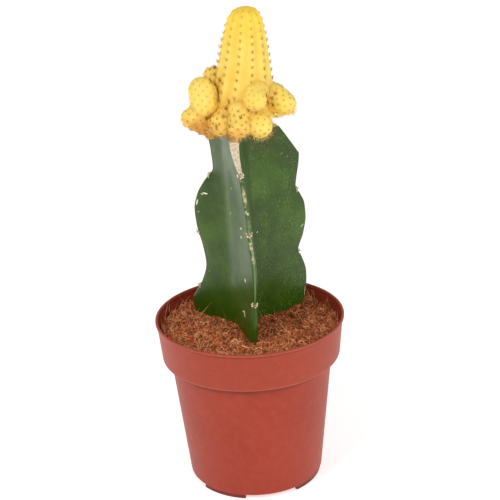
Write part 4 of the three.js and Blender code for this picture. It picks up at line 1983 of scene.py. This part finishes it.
@dataclass
class Offset:
    """A round side stem.

    root and tip are the middles of its end in the column and of its free end, and spine is
    the length of its spines, which are fold_spine longer in a fold and hanging_spine longer
    where they hang. core is the share of the radius that counts as its inside, and waist how
    much wider it is halfway. bristles are drawn for its fringe, each as long as the first of
    fringe_length and up to the second more.
    """

    name: str
    root: Station
    tip: Station
    radius: float
    spine: float
    column: ScionColumn
    ribs: int = 9
    groove: float = 0.14
    lumps: float = 0.28
    pitch: float = 2.6
    waist: float = 1.02
    core: float = 0.96
    blush_and_shade_fade: Span = (178.0, 166.0)
    fold_spine: float = 0.9
    hanging_spine: float = 0.9
    around: int = 144
    levels: int = 84
    bristles: int = 260
    fringe_length: Span = (1.2, 1.2)
    fringe_radii: Span = (0.06, 0.02)

    def __post_init__(self) -> None:
        """Sets the offset's own axes."""
        self.start = self.column.round_column(*self.root)
        self.end = self.column.round_column(*self.tip)
        self.axis = (self.end - self.start).normalized()
        self.length = (self.end - self.start).length
        self.turn = UP.rotation_difference(self.axis)
        self.arc = math.pi / 2 * self.radius
        self.total = self.length + 2 * self.arc
        area = TAU * self.radius * (self.length + 2 * self.radius)
        count = round(area / self.pitch**2)
        self.seats = [self.seat(i, count) for i in range(count)]
        self.areoles = KDTree(count)
        for i, seat in enumerate(self.seats):
            self.areoles.insert(self.skin(*seat)[0], i)
        self.areoles.balance()

    def seat(self, number: int, count: int) -> tuple[float, float]:
        """Spreads the areoles evenly, each a golden turn on from the one before.

        Args:
            number: Which areole.
            count: How many there are.

        Returns:
            Its bearing round the axis, and its run along the skin.
        """
        along = (self.length + 2 * self.radius) * (number + 0.5) / count - self.radius
        run = self.arc + along
        if along < 0:
            run = self.arc - self.radius * math.asin(-along / self.radius)
        elif along > self.length:
            run = self.arc + self.length
            run += self.radius * math.asin((along - self.length) / self.radius)
        return number * GOLDEN_TURN, run

    def profile(self, run: float) -> tuple[float, float]:
        """Follows the skin from the pole at the root over the side to the pole at the tip.

        Args:
            run: The distance along the skin from the root's pole.

        Returns:
            The reach from the axis, and the place along the axis.
        """
        if run < self.arc:
            angle = math.pi / 2 - run / self.radius
            return self.radius * math.cos(angle), -self.radius * math.sin(angle)
        if run > self.arc + self.length:
            angle = (run - self.arc - self.length) / self.radius
            return self.radius * math.cos(angle), self.length + self.radius * math.sin(angle)
        along = run - self.arc
        swell = math.sin(math.pi * along / self.length)
        return self.radius * (1 + (self.waist - 1) * swell), along

    def skin(self, bearing: float, run: float) -> tuple[Vector, float]:
        """Works out a point of the skin.

        Args:
            bearing: Round the axis, in radians.
            run: The distance along the skin from the root's pole.

        Returns:
            The point, and how deep in a valley it is.
        """
        reach, along = self.profile(run)
        valley = 0.5 - 0.5 * math.cos(self.ribs * bearing)
        fade = min(1.0, reach / (0.7 * self.radius))
        smooth = Vector((*polar(reach, bearing), along))
        lump = self.lumps * ripple(self.start + self.turn @ smooth, 4.5, 3.0)
        full = max(reach + (lump - self.groove * valley) * fade, 0.0)
        local = Vector((*polar(full, bearing), along))
        return self.start + self.turn @ local, valley * fade

    def along(self, point: Vector) -> float:
        """Gives the place along the axis that is nearest to a point."""
        return min(max((point - self.start).dot(self.axis), 0.0), self.length)

    def outward(self, point: Vector) -> Vector:
        """Gives the way out from the axis to a point."""
        return (point - self.start - self.axis * self.along(point)).normalized()

    def depth_in(self, point: Vector) -> float:
        """Gives how deep a point lies inside this offset; below 0 it lies outside."""
        nearest = self.start + self.axis * self.along(point)
        return self.radius * self.core - (point - nearest).length

    def spot(self, u: float, v: float, mass: ScionMass) -> Spot:
        """Places one point of the offset's grid, from its root to its tip.

        Args:
            u: The share round the axis.
            v: The share along the skin.
            mass: The scion that it folds against.

        Returns:
            The point with the flesh's marks.
        """
        point, valley = self.skin(TAU * u, self.total * v)
        nearest = self.areoles.find(point)[2]
        crease = mass.crease(point, self)
        # Far on the left the blush is stronger, as painted shade.
        side = smooth_step(*BLUSH_AND_SHADE_SIDE, point.x) + 1.4 * smooth_step(-8, -16, point.x)
        marks = {
            "valley": 0.4 * valley,
            "areole": 0.8 * smooth_step(0.9, 0.2, nearest),
            "foot": smooth_step(*self.blush_and_shade_fade, point.z) * side,
            "crease": crease,
        }
        return Spot(point + self.outward(point) * mass.fillet * crease, marks)

    def tufts(self, mass: ScionMass) -> list[Tuft]:
        """Lists the offset's areoles that show.

        Args:
            mass: The scion, which hides some of them.

        Returns:
            The areoles.
        """
        tufts = []
        for bearing, run in self.seats:
            point, _ = self.skin(bearing, run)
            ahead, _ = self.skin(bearing, min(run + 0.2, self.total))
            local = self.turn @ heading(bearing)
            forward = (ahead - point).normalized()
            outward = (local - forward * local.dot(forward)).normalized()
            if mass.is_buried(point, self):
                continue
            hang = smooth_step(0.1, -0.8, outward.z) * smooth_step(174, 167, point.z)
            length = self.spine + self.hanging_spine * hang
            length += self.fold_spine * mass.crease(point, self)
            tufts.append(Tuft(point, outward, uphill(outward), length, 5))
        return tufts

    def sheet(self, mass: ScionMass) -> bmesh.types.BMesh:
        """Builds the offset's skin."""
        place = partial(self.spot, mass=mass)
        return wrapped_sheet(self.around, self.levels, place, FLESH_MARKS)

    def fringe(self, mass: ScionMass, draw: random.Random) -> list[Strand]:
        """Hangs fine golden bristles from the offset's underside.

        Args:
            mass: The scion that the offset belongs to.
            draw: The random draws.

        Returns:
            The bristles.
        """
        bristles = []
        for _ in range(self.bristles):
            point, _ = self.skin(TAU * draw.random(), self.total * (0.4 + 0.58 * draw.random()))
            outward = self.outward(point)
            keep = draw.random() < 0.15 + 0.85 * smooth_step(-14, -2, point.x)
            if not keep or outward.z > -0.25 or mass.is_buried(point, self):
                continue
            way = (outward + Vector((draw.gauss(0, 0.3), draw.gauss(0, 0.3), -0.3))).normalized()
            tip = point + way * drawn(self.fringe_length, draw)
            bristles.append(Strand([point - way * 0.1, tip], self.fringe_radii))
        return bristles


# The offsets' names, root, tip, radius and spine length.
OFFSETS: tuple[tuple[str, Station, Station, float, float], ...] = (
    ("offset_left_upper", (203, 14.4, 18.3), (197, 19.8, 18.4), 5.75, 0.5),
    ("offset_left_lower", (204, 3.4, 14.5), (206, 9.6, 24.5), 4.2, 0.8),
    ("offset_left_back", (165, 19.6, 9), (160, 23, 14), 4.1, 1.2),
    ("offset_front_right", (300, 19, 10.3), (290, 17.1, 14.3), 4.7, 0.4),
    ("offset_right", (350, 15.6, 12.6), (342, 12.6, 18.1), 5.1, 0.7),
    ("offset_right_upper", (16, 14.7, 10), (10, 15.7, 14.6), 3.4, 0.9),
    ("offset_front_right_lower", (304, 8, 8), (297, 5.8, 15.3), 5.2, 0.6),
    ("offset_front_lower", (262, 11.5, 10.5), (263, 6, 15.5), 4.7, 1.2),
    ("offset_front_left_lower", (225, 8.4, 8), (231, 6.6, 15.4), 5.0, 1.4),
    ("offset_back_right", (38, 7.6, 9), (34, 7.4, 16.4), 4.9, 0.8),
    ("offset_back_middle", (80, 16, 9), (84, 19, 16.6), 5.2, 0.8),
    ("offset_back_lower", (100, 6, 9), (96, 6, 15.2), 4.2, 0.8),
    ("offset_back_left", (136, 8, 9), (138, 10.4, 17.2), 5, 0.8),
)

# The long-spined areoles of the folds: the pixel of each in the 500 x 500 portrait, across and
# down, and the length of its spines.
FOLD_AREOLES: tuple[tuple[float, float, float], ...] = (
    (211, 82, 2.4), (215, 85, 2.4), (217.5, 89.5, 2.2), (218.5, 94.5, 2.6), (219, 100, 2.6),
    (214.5, 75, 1.8), (214, 68.5, 1.6), (220, 81, 2.2), (229, 103, 2.2), (226, 109.5, 2.4),
    (248, 110, 2.2), (266.5, 96.5, 2.2), (268, 103, 2.6), (273, 105.5, 2.4), (272, 99, 2.0),
    (275, 94, 1.8), (256, 113.5, 1.8), (211, 117.5, 2.0), (206, 119, 1.8), (241, 118, 1.8),
    (224, 117, 1.8), (216.5, 127, 1.6), (230, 127, 1.6),
)


@dataclass
class ScionMass:
    """The column with all its offsets.

    Their skins swell by fillet in a fold, which sets in over the depths of fold_depths inside
    a neighbour. Areoles deeper than buried are left out.
    """

    column: ScionColumn = field(default_factory=ScionColumn)
    fillet: float = 0.8
    fold_depths: Span = (-2.2, 0.1)
    buried: float = -0.3
    fringe_horn: Horn = Horn("fringe_horn", linear(228, 176, 82), linear(252, 220, 138))
    spine_horn: Horn = Horn("scion_spine_horn", linear(146, 100, 28), linear(212, 166, 80))
    fold_horn: Horn = Horn("fold_spine_horn", linear(112, 66, 16), linear(186, 124, 40))
    felt: Horn = Horn("scion_felt", linear(154, 110, 32), linear(206, 158, 60), 0.95)

    def __post_init__(self) -> None:
        """Sets the offsets round the column."""
        self.offsets = [Offset(*row, column=self.column) for row in OFFSETS]

    def column_depth(self, point: Vector) -> float:
        """Gives how deep a point lies inside the column; below 0 it lies outside.

        Args:
            point: The point.

        Returns:
            The depth.
        """
        height = point.z - self.column.graft
        if not 0 <= height <= self.column.height:
            return -1.0
        middle = self.column.middle(height)
        return self.column.outline_at(height) - math.hypot(point.x - middle.x, point.y - middle.y)

    def crease(self, point: Vector, own: Offset | None) -> float:
        """Tells how near a point is to the fold with a neighbour, 0 to 1.

        Args:
            point: A point of the skin.
            own: The offset that it belongs to; None for the column.

        Returns:
            1 in the fold, 0 away from it.
        """
        depths = [other.depth_in(point) for other in self.offsets if other is not own]
        if own is not None:
            depths.append(self.column_depth(point))
        return smooth_step(*self.fold_depths, max(depths))

    def is_buried(self, point: Vector, own: Offset | None) -> bool:
        """Tells whether a point lies in or close to the column or another offset.

        Args:
            point: A point of the skin.
            own: The offset that it belongs to; None for the column.

        Returns:
            True when it does.
        """
        if own is not None and self.column_depth(point) > self.buried:
            return True
        others = (other for other in self.offsets if other is not own)
        return any(other.depth_in(point) > self.buried for other in others)

    @staticmethod
    def fold_tufts(camera: Portrait, skins: Sequence[BVHTree]) -> list[Tuft]:
        """Places the long-spined areoles of the folds where the portrait's camera sees them.

        Args:
            camera: The portrait's camera.
            skins: The skins of the column and the offsets.

        Returns:
            The areoles.
        """
        tufts = []
        for x, y, length in FOLD_AREOLES:
            origin, way = camera.sight(x, y)
            hits = [skin.ray_cast(origin, way) for skin in skins]
            hits = [hit for hit in hits if hit[0] is not None]
            if not hits:
                log.warning("a fold areole at %s misses the scion", (x, y))
                continue
            point, outward, _, _ = min(hits, key=lambda hit: hit[3])
            tufts.append(Tuft(point, outward, uphill(outward), length, 7))
        return tufts

    def build_flesh(self) -> tuple[list[BVHTree], list[Tuft]]:
        """Builds the skins of the column and the offsets.

        Returns:
            Their skins to look points up on, and their areoles that show.
        """
        flesh = YellowFlesh().material()
        sheet = self.column.sheet(self)
        skins = [BVHTree.FromBMesh(sheet)]
        finish_piece("column_flesh", sheet, [flesh], ["scion_column"])
        tufts = self.column.tufts(self)
        for offset in self.offsets:
            sheet = offset.sheet(self)
            skins.append(BVHTree.FromBMesh(sheet))
            finish_piece(offset.name + "_flesh", sheet, [flesh], [offset.name])
            tufts += offset.tufts(self)
        return skins, tufts

    def build(self, camera: Portrait) -> None:
        """Builds the column, the offsets, their felt pads and all their spines.

        Args:
            camera: The portrait's camera, whose pixels place the areoles of the folds.
        """
        draw = random.Random(41)
        skins, tufts = self.build_flesh()
        spines = [spine for tuft in tufts for spine in tuft.spines(draw)]
        fringe = [strand for offset in self.offsets for strand in offset.fringe(self, draw)]
        strands_piece("scion_fringe", fringe, self.fringe_horn)
        strands_piece("scion_spines", spines, self.spine_horn)
        fold_tufts = self.fold_tufts(camera, skins)
        spines = [spine for tuft in fold_tufts for spine in tuft.spines(draw)]
        strands_piece("fold_spines", spines, self.fold_horn)
        pebbles = pebble_meshes(6, 0.1, draw)
        places = []
        for tuft in tufts + fold_tufts:
            placing = frame_on(tuft.seat, tuft.outward, 0.0, tuft.pad_size())
            places.append((draw.choice(pebbles), placing))
        finish_piece("scion_areoles", stamped(places), [self.felt.material()])


# -------------------- the studio


@dataclass
class Portrait:
    """The camera at the photograph's place. Lengths are in millimetres."""

    target: Vector = field(default_factory=lambda: Vector((1.55, 0.0, 108.9)))
    distance: float = 600.0
    elevation: float = 21.83
    roll: float = -2.69
    focal_pixels: float = 1358.3
    picture: float = 500.0
    sensor: float = 36.0
    sight_limit: float = 20000.0

    def pose(self) -> Matrix:
        """Gives the camera's placing, in millimetres.

        Returns:
            The placing matrix.
        """
        lift = math.radians(self.elevation)
        back = Vector((0, -math.cos(lift), math.sin(lift)))
        turn = (-back).to_track_quat("-Z", "Y") @ Quaternion((0, 0, 1), math.radians(self.roll))
        return Matrix.Translation(self.target + back * self.distance) @ turn.to_matrix().to_4x4()

    def rightward(self) -> Vector:
        """Gives the direction of the picture's right side."""
        return self.pose().to_3x3() @ Vector((1, 0, 0))

    def sight(self, x: float, y: float) -> tuple[Vector, Vector]:
        """Gives the line of sight through a pixel, in millimetres.

        Args:
            x: The pixel, from the left.
            y: The pixel, from the top.

        Returns:
            The camera's place, and the way it looks.
        """
        half = self.picture / 2
        local = Vector(((x - half) / self.focal_pixels, (half - y) / self.focal_pixels, -1))
        pose = self.pose()
        return pose.translation, (pose.to_3x3() @ local).normalized()

    def build(self) -> None:
        """Sets up the scene's camera."""
        data = bpy.data.cameras.new("portrait")
        data.sensor_width = self.sensor
        data.lens = self.sensor * self.focal_pixels / self.picture
        data.clip_end = self.sight_limit * MM
        camera = placed("portrait", data)
        pose = self.pose()
        camera.matrix_world = Matrix.Translation(pose.translation * MM) @ pose.to_3x3().to_4x4()
        bpy.context.scene.camera = camera


@dataclass(frozen=True)
class SoftLight:
    """A square soft light that is aimed at the plant. Lengths are in millimetres."""

    name: str
    place: tuple[float, float, float]
    size: float
    power: float
    aim: tuple[float, float, float] = (0, 0, 110)

    def build(self) -> None:
        """Hangs the light."""
        data = bpy.data.lights.new(self.name, "AREA")
        data.size = self.size * MM
        data.energy = self.power
        lamp = placed(self.name, data)
        lamp.location = Vector(self.place) * MM
        lamp.rotation_mode = "QUATERNION"
        way = Vector(self.aim) - Vector(self.place)
        lamp.rotation_quaternion = way.to_track_quat("-Z", "Y")


@dataclass
class Studio:
    """A white floor, a bright sky and three soft lights. Lengths are in millimetres.

    sky_change gives the two directions' shares of Y between which the sky brightens from
    front to back.
    """

    sky_behind: Colour = (0.48, 0.48, 0.48)
    sky_in_front: Colour = (0.28, 0.28, 0.28)
    sky_change: Span = (-0.8, 0.8)
    floor_size: float = 12000.0
    floor_drop: float = 0.05
    lights: tuple[SoftLight, ...] = (
        SoftLight("key", (-520, -560, 760), 420, 4.0),
        SoftLight("front", (60, -760, 620), 500, 0.8),
        SoftLight("fill", (620, -420, 380), 500, 2.1),
    )

    def build(self) -> None:
        """Builds the surroundings."""
        scene = bpy.context.scene
        scene.view_settings.view_transform = "Standard"
        scene.world = self.sky()
        self.floor()
        for light in self.lights:
            light.build()

    def sky(self) -> bpy.types.World:
        """Makes the sky, bright behind the plant and dimmer on the camera's side.

        Returns:
            The sky.
        """
        bench = ShaderBench(bpy.data.worlds.new("sky"), "Generated")
        low, high = self.sky_change
        share = bench.node("ShaderNodeMapRange", None, {0: bench.axis("Y"), 1: low, 2: high})
        tint = bench.blend(share, self.sky_in_front, self.sky_behind)
        light = bench.node("ShaderNodeBackground", None, {"Color": tint})
        bench.close("ShaderNodeOutputWorld", light)
        return bench.owner

    def floor(self) -> None:
        """Lays the floor just under the pot's feet."""
        bm = bmesh.new()
        bmesh.ops.create_grid(bm, x_segments=4, y_segments=4, size=self.floor_size * MM / 2)
        bmesh.ops.translate(bm, vec=(0, 0, -self.floor_drop * MM), verts=bm.verts)
        mesh = mesh_from(bm, "floor")
        mesh.materials.append(FloorPaper().material())
        placed("floor", mesh)


def main() -> None:
    """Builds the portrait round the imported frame."""
    logging.basicConfig(level=logging.INFO, format="%(name)s %(message)s")
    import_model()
    camera = Portrait()
    camera.build()
    pot = NurseryPot()
    pot.build()
    stem = Rootstock()
    stem.build(camera)
    PottingMix(pot, stem).build()
    ScionMass().build(camera)
    Studio().build()


if __name__ == "__main__":
    main()
